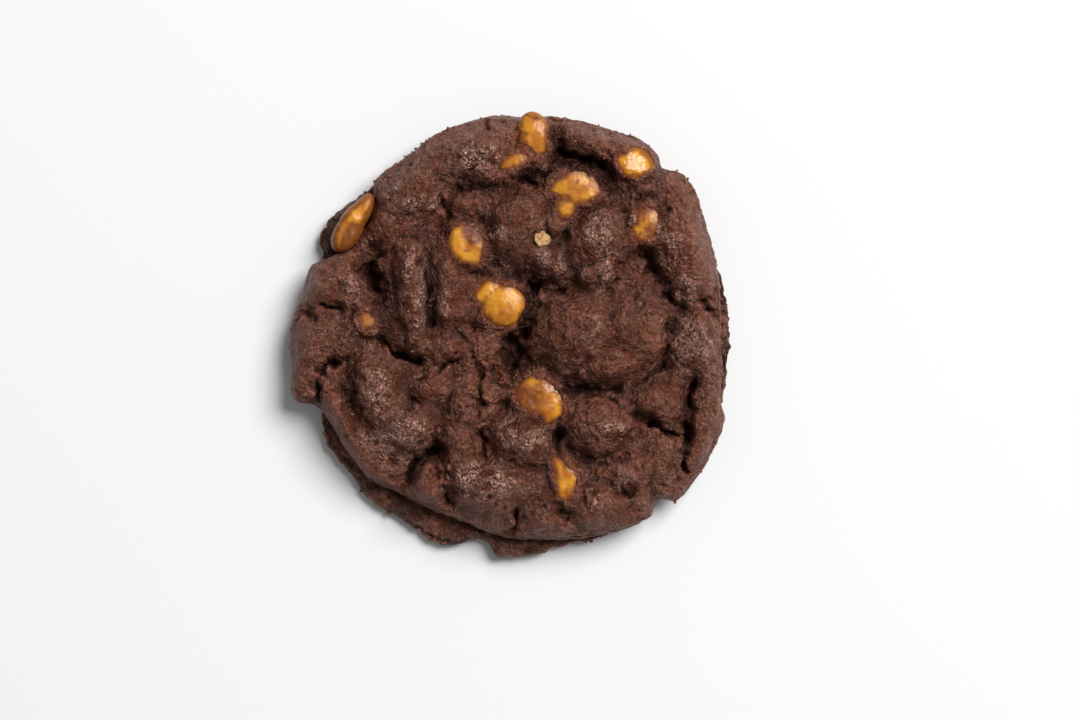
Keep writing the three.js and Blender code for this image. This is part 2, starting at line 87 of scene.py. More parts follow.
# How far outlines wander: each entry's distance, the length it happens over and its two seeds.
LUMP_WANDER = ((0.8, 7.0, 11, 21), (0.5, 2.8, 12, 22), (0.2, 1.2, 13, 23))
CREASE_WANDER = ((0.8, 3.1, 41, 42), (0.35, 1.1, 43, 44))
WINDOW_WANDER = ((0.4, 1.9, 71, 73), (0.22, 0.8, 72, 74))
PATCH_WANDER = ((0.9, 3.3, 101, 102),)
FOLD_WANDER = ((1.2, 6.0, 53, 54),)

# Uneven folds of the top: height, length, seed.
SHARP_FOLDS = (0.6, 5.2, 51)
SOFT_FOLDS = (0.3, 2.4, 52)

# The thin cracks between lumps.
CRACK_WIDTH = 0.45  # the crack is where two lumps' heights differ by less than about this
CRACK_RISE = 0.2  # and both are at least this much above the hollow

# Creases: the share of the depth that the narrow cut takes, and how its width varies.
CUT_SHARE = 0.85
CUT_WIDTH_CHANGE = 0.55

# How the dough lies around a chip, in millimetres from the edge of the bare place.
LIP_RISE = 0.6  # over this far the lip reaches its thickness
LIP_UNEVENNESS = 0.9  # how much its thickness varies
LIP_LEVEL = 0.45  # it stays this share of the chip's own rise above the widest line
REACH_DOWN = 3.4  # over this far it goes down to free dough that lies lower
REACH_UP = 1.5  # or up to free dough that lies higher
COAT = 0.45  # the thickest coat of dough on a chip's hidden part
COAT_SLOPE = 0.5  # and how fast it gets that thick
COAT_END = 20.0  # how steeply it ends past the chip's outline
TUCK = 0.9  # how deep the dough lies under the bare part
TUCK_SLOPE = 2.4  # and how fast it gets there

# Fine relief of the dough. Round bumps of the skin: size, height, how far they bend, seed. A bump is
# the height times this level less the squared distance from its middle.
SKIN_BUMPS = ((1.5, 0.26, 0.6, 71), (1.0, 0.13, 0.3, 72))
BUMP_LEVEL = 0.45
SKIN_WAVES = ((2.4, 0.26, 64), (1.1, 0.1, 65))  # length, height, seed
CALM = 0.22  # the share of this relief that smooth places keep
WRINKLED = 0.85  # what wrinkled places add to that
TORN_CRUMBS = (1.2, 0.3, 73, 0.6, 0.8)  # size, bend, seed, height, and squared reach
TORN_DEPTH = 0.15  # how deep torn places lie
PITS = (3.1, 0.45, 0.8, 0.13)  # spacing, share of the cells with a pit, depth, width in cells
LAYER_THICKNESS = 1.2
LAYER_GROOVE = (0.4, 0.2, 0.5)  # where in a layer its groove lies, half its width and its depth
LAYER_WAVES = ((14.0, 0.6, 82), (4.0, 0.3, 83), (1.5, 0.1, 85))  # length, height, seed
SKIN_LEVEL = 0.08  # what the relief is lowered by, to keep the size
RIM_STARTS = (40.0, 42.0)  # from the first radius to the second, the low side becomes torn
LAYER_STARTS = (40.0, 42.5)  # and layers show

# Masks over the dough that tell bumps from hollows: how often the surface is averaged with its
# surroundings, and how far below the average, in millimetres, a mask starts and is full.
# The material paints shade into the hollows, deep places and valleys, and paints light onto the crowns and
# onto the ridges of small bumps.
HOLLOW_MASKS = {
    "crown": (300, -0.05, -0.9),
    "valley": (300, 0.0, 0.9),
    "deep": (60, 0.1, 1.2),
    "hollow": (8, 0.02, 0.3),
    "ridge": (8, -0.02, -0.16),
}
FOOT_SHADE = 0.8  # how strongly the upper layer's shadow is painted on the foot under the groove, which also makes it glossier

# The side of the upper layer seen from above: degrees from x, radius.
UPPER_OUTLINE = (
    (0, 44), (19, 45.5), (26, 46.5), (32, 47.5), (38, 49), (44, 49.5), (48, 47.5), (51, 49), (57, 49.5),
    (62, 48.5), (79, 47), (88, 46), (93, 46.5), (103, 46), (112, 45), (121, 43.5), (131, 43.5),
    (135, 41), (141, 38.5), (151, 38.5), (157, 42), (161, 44.5), (170, 45), (180, 46.5), (188, 46.5),
    (196, 47.5), (200, 43), (217, 42), (226, 42), (234, 40.5), (255, 40), (264, 41.5), (281, 43.5),
    (291, 45), (301, 47), (308, 47.5), (312, 45.5), (315, 48.5), (323, 49), (331, 48.5), (339, 48),
    (343, 46), (349, 45),
)

# The side of the foot, the lower layer that shows where the upper one is drawn in.
FOOT_OUTLINE = (
    (0, 46), (15, 46), (25, 45.5), (45, 47), (60, 47), (88, 45), (103, 45.5), (121, 42.5), (132, 43),
    (141, 44.5), (151, 45.5), (158, 43), (175, 44.5), (195, 45), (201, 43), (207, 44.5), (213, 45),
    (221, 44.5), (228, 45.5), (240, 45), (251, 46), (255, 45.5), (258, 44), (263, 43.5), (266, 46.5),
    (271, 46.5), (283, 45.5), (297, 46.5), (309, 46), (325, 47.5), (340, 46.5), (350, 46),
)

# Where the groove above the foot runs deep: degrees, half its spread, depth.
GROOVE_DEPTH = 0.8
DEEP_GROOVES = ((232, 34, 3.2), (268, 14, 1.6), (355, 26, 1.4))

# Lumps of dough: x, y, half length, half width, turn in degrees, height of the crown.
LUMPS = {
    "right main": (14.5, 0.5, 12.5, 9.5, 8, 16.5),
    "right end": (28.5, 1, 9, 6, 88, 15.5),
    "right low": (20, -5.5, 9, 5, 12, 15),
    "right joint": (23.5, 1.5, 8, 6, 90, 15.8),
    "knob": (16.5, 12.5, 3.5, 3.5, 0, 14.8),
    "knob ring": (18.5, 14.5, 5, 4.5, 0, 14),
    "upper right": (18.5, 20.5, 9.5, 7.5, 28, 15.5),
    "upper middle": (1.5, 22.5, 10, 8, 60, 15),
    "upper middle ridge": (7, 16, 6.5, 4.5, -52, 14.3),
    "upper middle top": (9.5, 23.5, 5, 3, 70, 14.5),
    "rim right top": (35, 19.5, 15.5, 8.5, -70, 14.5),
    "rim top right": (19, 39, 12.5, 5.5, -17, 13.5),
    "rim top": (-6, 38.5, 14, 7, 18, 13.5),
    "top fold": (-3, 34.5, 9, 4, 12, 14.5),
    "top left": (-19.5, 30.5, 11.5, 6.5, 38, 13.5),
    "top left low": (-25, 22.5, 7.5, 5, 20, 12.5),
    "long ridge": (-20.8, 9, 14.5, 4, -83, 15),
    "ridge slope": (-24.5, 7, 11.5, 5, -78, 12),
    "left slab": (-38.5, -1.5, 13, 8.5, 88, 12.5),
    "left upper": (-37.5, 10, 8, 7, 60, 13),
    "left ridge": (-34, 10, 8.5, 4.5, -80, 13),
    "low left": (-27, -12.5, 12.5, 7, -62, 15.5),
    "low left outer": (-35.5, -17.5, 13.5, 5, -60, 13),
    "low left inner": (-20.5, -19.5, 8.5, 7, 20, 14.5),
    "bottom main": (-2.5, -31, 14, 8, -8, 15),
    "bottom left": (-17.5, -31.5, 8.5, 5, 72, 13),
    "bottom ridge": (-10.5, -24, 11, 5, -80, 14.5),
    "middle upper": (-12, 5, 5, 4.5, 0, 14),
    "middle": (-6, -3, 7.5, 6, 30, 13.5),
    "middle left": (-13, -3, 5.5, 4, 0, 13.5),
    "middle low": (-8.5, -13.5, 8, 6.5, 90, 14),
    "middle low left": (-16, -11, 6, 5, 0, 14),
    "beside ridge": (-13, 13.5, 9, 5.5, 85, 13.3),
    "under fold": (-9.5, 27, 8, 4.5, 10, 13),
    "low middle": (3, -22, 8, 7, -10, 15.5),
    "under chip": (1, -9, 5.5, 5, 40, 13),
    "low right": (18.5, -18, 9, 8, 0, 15),
    "low right rim": (24.5, -27, 9.5, 6, 15, 14),
    "bottom right": (17.5, -35, 9, 5.5, 10, 13.5),
    "right rough": (30.5, -13.5, 6.5, 6.5, 0, 13.5),
    "right rough low": (31.5, -24, 8, 5, 85, 13),
    "rim right": (40, -1, 14, 5, -88, 12),
    "right moist": (36, -2, 10, 4.5, 90, 12.5),
    "rim low right": (39.5, -22, 12, 5, 72, 12),
    "rim bottom": (7, -38, 8.5, 5, 5, 12.5),
    "upper wedge": (27.5, 27.5, 6.5, 5, 60, 13.5),
    "behind chip": (11.5, 33.5, 8.5, 3, -20, 12.5),
}

# Creases and cracks: half width, depth, then the points their bottom line runs through.
CREASES = {
    "top notch": (1.1, 4.6, (8, 45.5), (9, 40.5), (11, 38.5), (17, 36.5), (21.5, 35)),
    "above upper": (0.9, 2.6, (-1, 33.5), (2, 32.5), (5.5, 32), (9, 33), (11, 34.5)),
    "under top left": (0.7, 1.6, (-15.5, 34), (-12.5, 31), (-7, 30.5), (-1.5, 33)),
    "beside chip left": (0.8, 2, (-14, 27.5), (-13, 24), (-12, 21.5)),
    "long groove": (0.5, 1, (-18, 21), (-17, 15.5), (-17.3, 12)),
    "long groove low": (0.5, 1.4, (-16.8, 10), (-17.5, 6.5), (-16.6, 2)),
    "deep pit": (2, 4.6, (-29.5, 17.5), (-29.8, 13.5), (-28.3, 10)),
    "ridge foot": (0.5, 1.8, (-28.5, 0.5), (-25.8, -2.8), (-23.5, -4)),
    "ridge foot slit": (0.7, 4, (-23.5, -3.6), (-21, -4.8), (-19.3, -5)),
    "middle step": (0.5, 2.2, (-19, -9), (-15.5, -7.5), (-13.5, -5.5), (-11, -5)),
    "left slit": (0.45, 3, (-39.5, 7), (-37.5, 6), (-35.5, 5.5)),
    "left notch": (0.8, 2.6, (-44.5, 5.5), (-42.5, 4.5), (-41, 3.5)),
    "left pocket": (0.9, 3.6, (-40.5, -13), (-40.5, -9), (-39, -6.5), (-36.5, -5.5)),
    "low left valley": (2.2, 1.2, (-33.5, -6), (-33.5, -13.5), (-32.5, -21)),
    "low left cleft": (0.9, 3.8, (-16.5, -23.5), (-19.5, -26), (-21.5, -28.5), (-23, -32), (-23.5, -35)),
    "bottom valley": (1.5, 2, (-15.5, -23), (-15.5, -29), (-13, -34.5)),
    "under upper middle": (1.2, 2.4, (-7, 14.5), (-2, 12), (2.5, 11.5), (8, 10), (11, 9)),
    "centre hollow": (1.8, 3.6, (3.8, 10), (4, 6.5), (1.8, 2.5), (0.6, -1)),
    "centre hollow low": (2.6, 4, (0.2, -2.5), (-0.2, -5.5), (2.2, -8.2)),
    "under right main": (0.9, 3, (6.5, -9), (9.5, -10.5), (12.5, -11.5), (17.5, -11.5), (21.5, -11)),
    "around right end": (0.7, 2.4, (26, -10.5), (29.5, -8), (31.5, -6), (32.5, -2), (33, 2.5)),
    "beside rim right": (1.2, 2.8, (26.5, 22), (28, 18.5), (30, 13.5), (32.5, 9.5), (35.5, 4.5)),
    "rim right pit": (0.8, 2.6, (39.5, 7.5), (41.5, 6), (43, 4.5)),
    "low right crack": (0.7, 3.6, (38.5, -9.5), (37, -12), (38, -15), (36.6, -18), (37, -21.5), (35.6, -25),
                        (36.4, -28.5)),
    "right slit": (0.6, 3.4, (29, -18), (31.5, -19.5), (34.5, -20.5)),
    "low cleft": (0.9, 3.8, (10, -16.5), (9.5, -22), (11, -25)),
    "low middle crease": (0.7, 2.2, (-6, -20), (-5.5, -25)),
    "bottom slit": (0.8, 4.6, (1.5, -37.5), (0.5, -41), (-1, -43)),
    "bottom pit": (0.8, 2.6, (11.5, -34.5), (12, -38)),
    "bottom right crack": (0.45, 1.8, (23, -32), (25.5, -34.5)),
    "top slit": (0.4, 2.6, (-5.5, 45), (-5, 43.5)),
    "rim right fold": (1, 1.6, (26.5, 29), (30, 29), (32, 26.5)),
    "middle crack": (0.6, 1.8, (-7.5, -15), (-6.5, -17.5)),
    "low right split": (0.5, 2, (21, -13), (23.5, -16), (26.5, -17.5)),
    "beside chip low": (0.8, 1.8, (12, -11.5), (11, -15)),
    "left of upper middle": (1.2, 1.5, (-7, 25.5), (-5, 20.5), (-5, 15.5)),
    "between upper": (0.6, 1.4, (10.5, 23.5), (12, 19.5)),
    "middle gap": (0.7, 2.6, (-6.2, -8), (-6.8, -11), (-6.4, -14)),
    "under low right": (0.7, 1.6, (16, -27), (21, -26.5), (27.5, -24)),
    "across middle": (0.5, 1.6, (-9.5, -12.5), (-5.5, -14), (-1, -14)),
    "middle seam": (0.5, 1.4, (-11.5, 1.5), (-8.5, -2), (-7, -7.5)),
    "beside chip centre": (0.6, 1.6, (-6.5, 7.5), (-8.5, 4), (-7, 1.5)),
}

# Chips: x, y and z of the widest line, then lobes, each as x and y from there, half length,
# half width, turn in degrees and height of the crown over that line.
CHIPS = {
    "chip_top_rim": (4.6, 42, 9.2, ((0, 0, 5, 3.6, -85, 2.3),)),
    "chip_top_inner": (0.6, 36.1, 11.9, ((0, 0, 3.3, 2, 25, 1.3),)),
    "chip_top_right": (25.6, 36, 10.4, ((0, 0, 4.5, 3.7, -15, 1.9),)),
    "chip_upper": (13.5, 30.8, 10.2, ((0, 0.2, 6.3, 4.4, -10, 1.9), (-2.2, -3.4, 3.4, 2.6, 80, 1.6))),
    "chip_right": (28.1, 23.2, 11.8, ((0, 0, 4.4, 3.2, 70, 1.5),)),
    "chip_left": (-9.4, 18.9, 10.4, ((0, 0, 5.3, 4.3, -70, 1.8),)),
    "chip_centre": (-2, 6.8, 9.7, ((0.3, -0.2, 5, 4.8, 10, 2.1), (-2.6, 2, 3.5, 3, 30, 1.7))),
    "chip_rim_left": (-33, 23.5, 7, ((-1.3, -1.7, 4.7, 2.8, 56, 2.6), (1.2, 2.1, 5, 2.2, 58, 2.5),
                                     (-0.3, 0.4, 5, 2.6, 57, 2.6))),
    "chip_far_left": (-30.3, 2.7, 10.4, ((0, 0, 3.2, 2.3, -45, 1.1),)),
    "chip_lower": (6, -13.2, 10.3, ((0, 0, 5.8, 5.2, -45, 1.9),)),
    "chip_bottom": (11.1, -29.6, 11.4, ((0, 0, 5.6, 3.3, -70, 1.5),)),
}

# Where each chip shows bare between the dough that laps over its edges: the points of a smooth
# closed outline.
WINDOWS = {
    "chip_top_rim": ((3.2, 46.6), (6.4, 46.8), (7.2, 44.6), (7.2, 39.6), (5.9, 37.8), (3.8, 37.6),
                     (2, 39), (1.7, 43)),
    "chip_top_inner": ((-2.2, 34.5), (-1.7, 36.2), (0.6, 37.6), (3.2, 37.8), (3, 36.2), (0.6, 35.2)),
    "chip_top_right": ((22.2, 37), (24.6, 38.4), (26.4, 39), (28, 37.8), (29.3, 35.8), (27.6, 33.9),
                       (24.9, 33), (23, 34.4)),
    "chip_upper": ((8, 30.2), (9.4, 32), (12.6, 34.2), (15.6, 33.9), (18.1, 31.6), (18.3, 29.5), (16, 28.3),
                   (13.3, 27.4), (12.9, 25.6), (11.4, 24.8), (9.8, 26.6), (10.2, 28.8)),
    "chip_right": ((26.4, 20.1), (29, 20.2), (30.4, 23.4), (29.4, 26.4), (27, 25.9), (25.5, 22.4)),
    "chip_left": ((-12.5, 21.6), (-10.8, 22.8), (-8, 22.4), (-6.3, 20.6), (-6.1, 18), (-6.6, 15.8),
                  (-8.2, 15.1), (-11, 16.4), (-12.6, 18.9)),
    "chip_centre": ((2.8, 6.8), (1.3, 9.8), (-2.4, 10.6), (-4.6, 11.4), (-6.9, 10.4), (-7.1, 8), (-5.9, 6.3),
                    (-5, 3.7), (-2.2, 2.3), (0.9, 2.9)),
    "chip_rim_left": ((-28.8, 28.9), (-31.3, 28), (-34.2, 25.2), (-36.6, 21.8), (-36.5, 19), (-35.4, 18),
                      (-34.8, 21), (-33.4, 23), (-31.5, 24), (-29.8, 26.2)),
    "chip_far_left": ((-31, 4.5), (-29.2, 4.7), (-28.6, 3), (-29.9, 1.9), (-31.1, 2.4)),
    "chip_lower": ((1.6, -10.2), (4.6, -8.6), (8, -9.8), (10.3, -13), (10.4, -16.2), (7.5, -18.1),
                   (6.2, -15.8), (3.6, -15.6), (1.3, -13.2)),
    "chip_bottom": ((8.7, -25.8), (9.8, -25.2), (12, -27.4), (13.5, -29.4), (12.7, -33), (11, -34),
                    (9.8, -32.6), (9.7, -29.2)),
}

# Greasy patches, glossier, with painted sheen and painted glints in their colour: x, y, half length, half
# width, turn in degrees, strength.
GREASY = (
    (-6.8, 36.8, 5, 3.5, 0, 1), (8.2, 35.3, 2.6, 1.3, 30, 0.9), (-8.4, 21.8, 1.8, 1.4, 0, 1),
    (-3, 21.6, 1.9, 1.7, 0, 0.7), (6.8, 16.8, 2.3, 2.2, 0, 0.6), (18.3, 21, 5.6, 3.2, 80, 1),
    (25.1, 24, 1.3, 1.2, 0, 0.7), (29.8, 20, 3.2, 1.8, 80, 1), (34, 20, 2.6, 2, 0, 0.6),
    (-19.8, 10, 8.4, 2.8, -86, 1), (-29, -10.2, 5.6, 3.4, -70, 0.9), (-33, 9.8, 7, 1.3, -84, 0.6),
    (8.2, 14.7, 3.2, 2.7, 0, 1), (16, 13, 2.4, 2, 0, 0.9), (16.5, 2, 2.6, 2, 60, 0.8),
    (18.8, 13, 4, 2.2, 80, 0.9), (35.7, 10, 3.6, 3, 60, 0.6), (37.3, -1.8, 5.6, 4.6, 80, 0.9),
    (-23.6, -21.8, 7, 6, 0, 0.65), (2.3, -20.6, 5, 4, 0, 0.7), (-5.9, -30, 6.4, 3.8, -10, 1),
    (21.7, -19.7, 4, 2, -20, 0.8), (23.4, -30.3, 2.6, 2.4, 0, 0.8), (16.9, -33.7, 2.6, 1.6, 90, 0.7),
    (-14, 6.6, 3, 2, 80, 0.6), (-19, 27.3, 3.8, 2.4, 10, 0.8), (-23.8, 30.9, 1.4, 1.1, 0, 0.8),
)

# Moist, glossier dough and painted shade, nearly black, mostly beside chips and in deep places, in the same
# form.
MOIST_AND_SHADE_PATCHES = (
    (13.5, 36.2, 6.5, 2.6, -15, 1), (4.5, 34.2, 4, 1.6, 20, 0.8), (20, 35, 3.4, 2, -30, 0.9),
    (-13.4, 22, 3.6, 1, -70, 0.9), (19.8, 32.5, 3.6, 2, -60, 1), (8.5, 35, 2.6, 1, 20, 0.8),
    (9.3, 41, 3.6, 1.1, -80, 1), (-28.8, 13, 3.6, 2, -75, 1), (3.2, 5, 6, 2.2, 80, 1),
    (0.4, -4.5, 6, 2.6, -80, 1), (28.5, 28.8, 3.2, 1.1, 5, 0.9), (31.6, 25.6, 2.2, 0.7, -70, 0.9),
    (10, -20.5, 5, 1.3, -88, 1), (10.6, -36, 2, 1, 90, 0.9), (-6.6, 13.4, 4, 1.2, -20, 0.8),
    (-17, 11.5, 9, 0.9, -86, 0.6), (-26.4, 8, 10, 3, -80, 0.75), (-33.2, -13, 8, 2.2, -85, 0.5),
    (-19, -27, 6, 1.4, 60, 0.8), (13, -11.5, 6, 1.2, -5, 0.9), (29.5, -17.5, 6, 1, -20, 0.8),
    (37, -17, 9, 1, 88, 0.8), (30.5, 15, 6, 1.3, -62, 0.8), (-35.2, 26.4, 5, 0.9, 45, 0.9),
    (37.3, -1.8, 5, 3.4, 80, 0.5),
)

# Patches baked to a warmer, drier brown: x, y, half length, half width, turn in degrees, strength.
DRY = (
    (28.5, -1.8, 5.6, 3, 88, 1), (24.3, -7, 5, 3, 20, 0.9), (28.5, -31, 4.2, 3, 70, 1),
    (-30.2, -25.6, 5.4, 3.4, -40, 0.7), (-11.6, 43, 8.4, 2.6, 8, 0.8), (-2.5, -36, 5.4, 2.6, 0, 0.7),
    (39.9, 13.5, 5.4, 2.6, 80, 0.7), (17.3, -26, 4.2, 2.2, 10, 0.6),
)

# Films of dough and specks on the chips: x, y, half length, half width, turn, strength.
FILMS = (
    (3.8, -12.8, 4, 3.2, 70, 0.85), (6.6, -10.6, 2.6, 1.4, -20, 0.7), (5.2, 46.2, 2.2, 0.8, 0, 0.9),
    (2.4, 39.4, 1.6, 1.1, 40, 0.8), (10.8, 28.9, 2.6, 0.9, -8, 0.9), (14.1, 32.2, 0.7, 0.4, 60, 0.8),
    (27.2, 24.9, 2.6, 1.3, 60, 0.85), (29.2, 22, 1.9, 2.4, 0, 0.85), (27.2, 20.4, 1.2, 0.9, 0, 0.9),
    (-5.5, 7.2, 1, 0.5, 40, 0.9), (-4.3, 4, 0.9, 0.5, -30, 0.9), (-2, 4.7, 0.6, 0.3, -30, 0.7),
    (-4.4, 8.9, 2.1, 0.26, 36, 0.9), (12.6, -26.8, 1.2, 0.8, -50, 0.6), (-30.3, 2.8, 4, 3.4, 0, 0.45),
    (25.8, 33.6, 1.6, 0.6, 0, 0.7), (-0.4, 35.4, 1.6, 0.6, 30, 0.6), (-34.9, 19.4, 1.6, 0.5, 75, 0.6),
    (-7.9, 21.2, 2.9, 2.1, -25, 1), (2.6, 41.2, 1.8, 1, 60, 0.8), (3, 38, 1.6, 1, 0, 0.8),
    (11.9, -32.6, 1.4, 0.9, 80, 0.45),
)

# How much glossier than the others a chip is: 1 for the glossiest, below 0 for a dusty one.
GLOSSY = {
    "chip_far_left": -1.0, "chip_top_right": 1.0, "chip_lower": 0.6, "chip_bottom": 0.5, "chip_top_rim": 0.5,
}

# Chips that tip towards larger x and y: how far they fall for each millimetre along both.
TIPPED = {CHIPS["chip_top_right"]: 0.2}

FLAKE_PLACE = (6.5, 20.2)  # where the pale flake lies

# ---- Fineness ----

TOP_CELLS = 224  # cells along each side of the grid over the top
SHOULDER_ROWS = 18
SIDE_ROWS = 24
UNDERSIDE_RINGS = ((0.985, 1), (0.95, 2), (0.91, 2), (0.86, 4), (0.8, 4), (0.7, 8), (0.6, 8),
                   (0.5, 8), (0.4, 16), (0.25, 16), (0.1, 32))
CHIP_COLUMNS = 128
CHIP_ROWS = 48
OUTLINE_STEPS = 4  # short straight stretches to each span of a bare place's outline
FLAKE_COLUMNS = 40
FLAKE_RINGS = 6


# ---- Numbers that look uneven but come out the same each time ----


def scrambled(i, j, k, seed):
    """Whole numbers from 0 to 2^32 that depend on three whole-number coordinates and a seed."""
    low = 0xFFFFFFFF
    h = (i * 374761393 + j * 668265263 + k * 2147483647 + seed * 2246822519) & low
    h = ((h ^ (h >> 13)) * 1274126177) & low
    return h ^ (h >> 16)


def ease(t):
    """A rise from 0 to 1 that starts and ends without slope or bend."""
    return t * t * t * (t * (t * 6 - 15) + 10)


def smoothstep(value, low, high):
    """A rise from 0 to 1, without slope at the ends, as the value goes from one level to the other."""
    t = np.clip((value - low) / (high - low), 0, 1)
    return t * t * (3 - 2 * t)


def unevenness(x, y, seed):
    """Smooth values from about -1 to 1: each whole-number corner has a slope in its own direction,
    and the four slopes around a place are eased into each other."""
    i, j = np.floor(x).astype(np.int64), np.floor(y).astype(np.int64)

    def rise(di, dj):
        angle = (scrambled(i + di, j + dj, 0, seed) & 0xFFFF) * (2 * np.pi / 65536)
        return np.cos(angle) * (x - i - di) + np.sin(angle) * (y - j - dj)

    u, v = ease(x - i), ease(y - j)
    near = rise(0, 0) * (1 - u) + rise(1, 0) * u
    far = rise(0, 1) * (1 - u) + rise(1, 1) * u
    return 1.5 * (near * (1 - v) + far * v)


def shifted(x, y, wander):
    """A place moved by unevenness of several sizes, as the tables of wandering outlines say."""
    moved_x, moved_y = x, y
    for far, length, seed_x, seed_y in wander:
        moved_x = moved_x + far * unevenness(x / length, y / length, seed_x)
        moved_y = moved_y + far * unevenness(x / length, y / length, seed_y)
    return moved_x, moved_y


def grain(points, length, seed):
    """Unevenness in three dimensions, for points in millimetres and bumps of a given length."""
    p = points / length
    corner = np.floor(p).astype(np.int64)
    inside = p - corner
    weight = ease(inside)
    total = np.zeros(len(points))
    for dx, dy, dz in np.ndindex(2, 2, 2):
        h = scrambled(corner[:, 0] + dx, corner[:, 1] + dy, corner[:, 2] + dz, seed)
        angle = (h & 0xFFFF) * (2 * np.pi / 65536)
        up = (h >> 16) * (2 / 65536) - 1
        out = np.sqrt(1 - up * up)
        slope = (inside[:, 0] - dx) * out * np.cos(angle)
        slope += (inside[:, 1] - dy) * out * np.sin(angle) + (inside[:, 2] - dz) * up
        share = np.where(dx, weight[:, 0], 1 - weight[:, 0])
        share = share * np.where(dy, weight[:, 1], 1 - weight[:, 1])
        total += slope * share * np.where(dz, weight[:, 2], 1 - weight[:, 2])
    return 1.5 * total


def nearest_seed(points, length, seed):
    """Distance, in cell lengths, to the nearest of the points strewn one to a cell, and that point's
    own number from 0 to 1."""
    p = points / length
    corner = np.floor(p).astype(np.int64)
    best = np.full(len(points), 9.0)
    number = np.zeros(len(points))
    for step in np.ndindex(3, 3, 3):
        cell = corner + step - 1
        where = [scrambled(*cell.T, seed + axis) / 2**32 for axis in range(3)]
        distance = np.linalg.norm(cell + np.stack(where, 1) - p, axis=1)
        closer = distance < best
        best = np.where(closer, distance, best)
        number = np.where(closer, scrambled(*cell.T, seed + 3) / 2**32, number)
    return best, number


# ---- Relief of the top ----


def outline_radius(outline, degrees):
    """A closed smooth curve through (degrees, radius) pairs, read at any angle: a cubic between each
    two pairs whose slopes come from the pairs on either side."""
    angles, radii = np.array(outline, float).T
    count = len(angles)
    angle = np.mod(degrees, 360)
    last = np.searchsorted(angles, angle, side="right") - 1
    before, start, end, beyond = ((last + k) % count for k in (-1, 0, 1, 2))
    span = np.mod(angles[end] - angles[start], 360)
    t = np.mod(angle - angles[start], 360) / span
    slope_in = (radii[end] - radii[before]) * span / (span + np.mod(angles[start] - angles[before], 360))
    slope_out = (radii[beyond] - radii[start]) * span / (span + np.mod(angles[beyond] - angles[end], 360))
    t2, t3 = t * t, t * t * t
    value = (2 * t3 - 3 * t2 + 1) * radii[start] + (t3 - 2 * t2 + t) * slope_in
    return value + (3 * t2 - 2 * t3) * radii[end] + (t3 - t2) * slope_out


def smooth_curve(p0, p1, p2, p3, t):
    """The point at share t of the way from p1 to p2, on the cubic whose slope at each of them is that
    between its neighbours."""
    return 0.5 * (2 * p1 + (p2 - p0) * t + (2 * p0 - 5 * p1 + 4 * p2 - p3) * t**2
                  + (3 * p1 - 3 * p2 + p3 - p0) * t**3)


def ellipse_distance(x, y, cx, cy, half_length, half_width, turn):
    """How far a place is from an ellipse's middle: 1 on its outline."""
    c, s = math.cos(math.radians(turn)), math.sin(math.radians(turn))
    along = ((x - cx) * c + (y - cy) * s) / half_length
    across = ((y - cy) * c - (x - cx) * s) / half_width
    return np.hypot(along, across)


def distance_to_path(x, y, points):
    """Distance to the nearest of the straight stretches between a path's points."""
    nearest = np.full(np.shape(x), 1e9)
    for (ax, ay), (bx, by) in zip(points, points[1:]):
        dx, dy = bx - ax, by - ay
        t = np.clip(((x - ax) * dx + (y - ay) * dy) / (dx * dx + dy * dy), 0, 1)
        nearest = np.minimum(nearest, np.hypot(x - ax - t * dx, y - ay - t * dy))
    return nearest


def lump_height(x, y, settings):
    """Soft maximum of the hollow's level and of every lump, a pillow flat on its crown and steep near
    its outline, with outlines that wander. Where the two highest lumps meet, a thin crack runs between
    them, deeper in some places than in others."""
    wx, wy = shifted(x, y, LUMP_WANDER)
    blend = settings.lump_blend / MM
    hollow = (settings.hollow_height - settings.hollow_fall * (np.hypot(x, y) / RIM_RADIUS) ** 2) / MM
    total = np.exp(hollow / blend)
    first = np.zeros(np.shape(x))
    second = np.zeros(np.shape(x))
    for cx, cy, half_length, half_width, turn, crown in LUMPS.values():
        size = (half_length * LUMP_GROW, half_width * LUMP_GROW)
        inside = 1 - ellipse_distance(wx, wy, cx, cy, *size, turn) ** LUMP_FLATNESS
        height = LUMP_ROOT + (crown - LUMP_ROOT) * np.clip(inside, 0, None) ** LUMP_ROUNDNESS
        total += np.exp(height / blend)
        second = np.maximum(second, np.minimum(first, height))
        first = np.maximum(first, height)
    meeting = np.exp(-(((first - second) / CRACK_WIDTH) ** 1.2)) * (second > hollow + CRACK_RISE)
    open_here = smoothstep(unevenness(x / 5.5, y / 5.5, 31), -0.1, 0.5)
    return blend * np.log(total) - settings.crack_depth / MM * meeting * open_here


def crease_depth(x, y):
    """Sum over the creases of a ragged narrow cut and a wide shallow dip along each path."""
    rx, ry = shifted(x, y, CREASE_WANDER)
    wide = 1 + CUT_WIDTH_CHANGE * unevenness(x / 2.2, y / 2.2, 45)
    open_here = 0.45 + 0.65 * smoothstep(unevenness(x / 3.7, y / 3.7, 46), -0.4, 0.2)
    total = np.zeros(np.shape(x))
    for half_width, depth, *points in CREASES.values():
        ragged = distance_to_path(rx, ry, points) / (half_width * wide)
        total += CUT_SHARE * depth * open_here * np.exp(-np.abs(ragged) ** 1.6)
        dip = distance_to_path(x, y, points) / (VALLEY_SPREAD * half_width)
        total += VALLEY_SHARE * depth * np.exp(-(dip**2))
    return total


def chip_distance(x, y, chip):
    """Distance from a chip's nearest lobe: 1 on the chip's outline."""
    cx, cy, _, lobes = chip
    each = [ellipse_distance(x, y, cx + lobe[0], cy + lobe[1], *lobe[2:5]) for lobe in lobes]
    return np.min(each, axis=0)


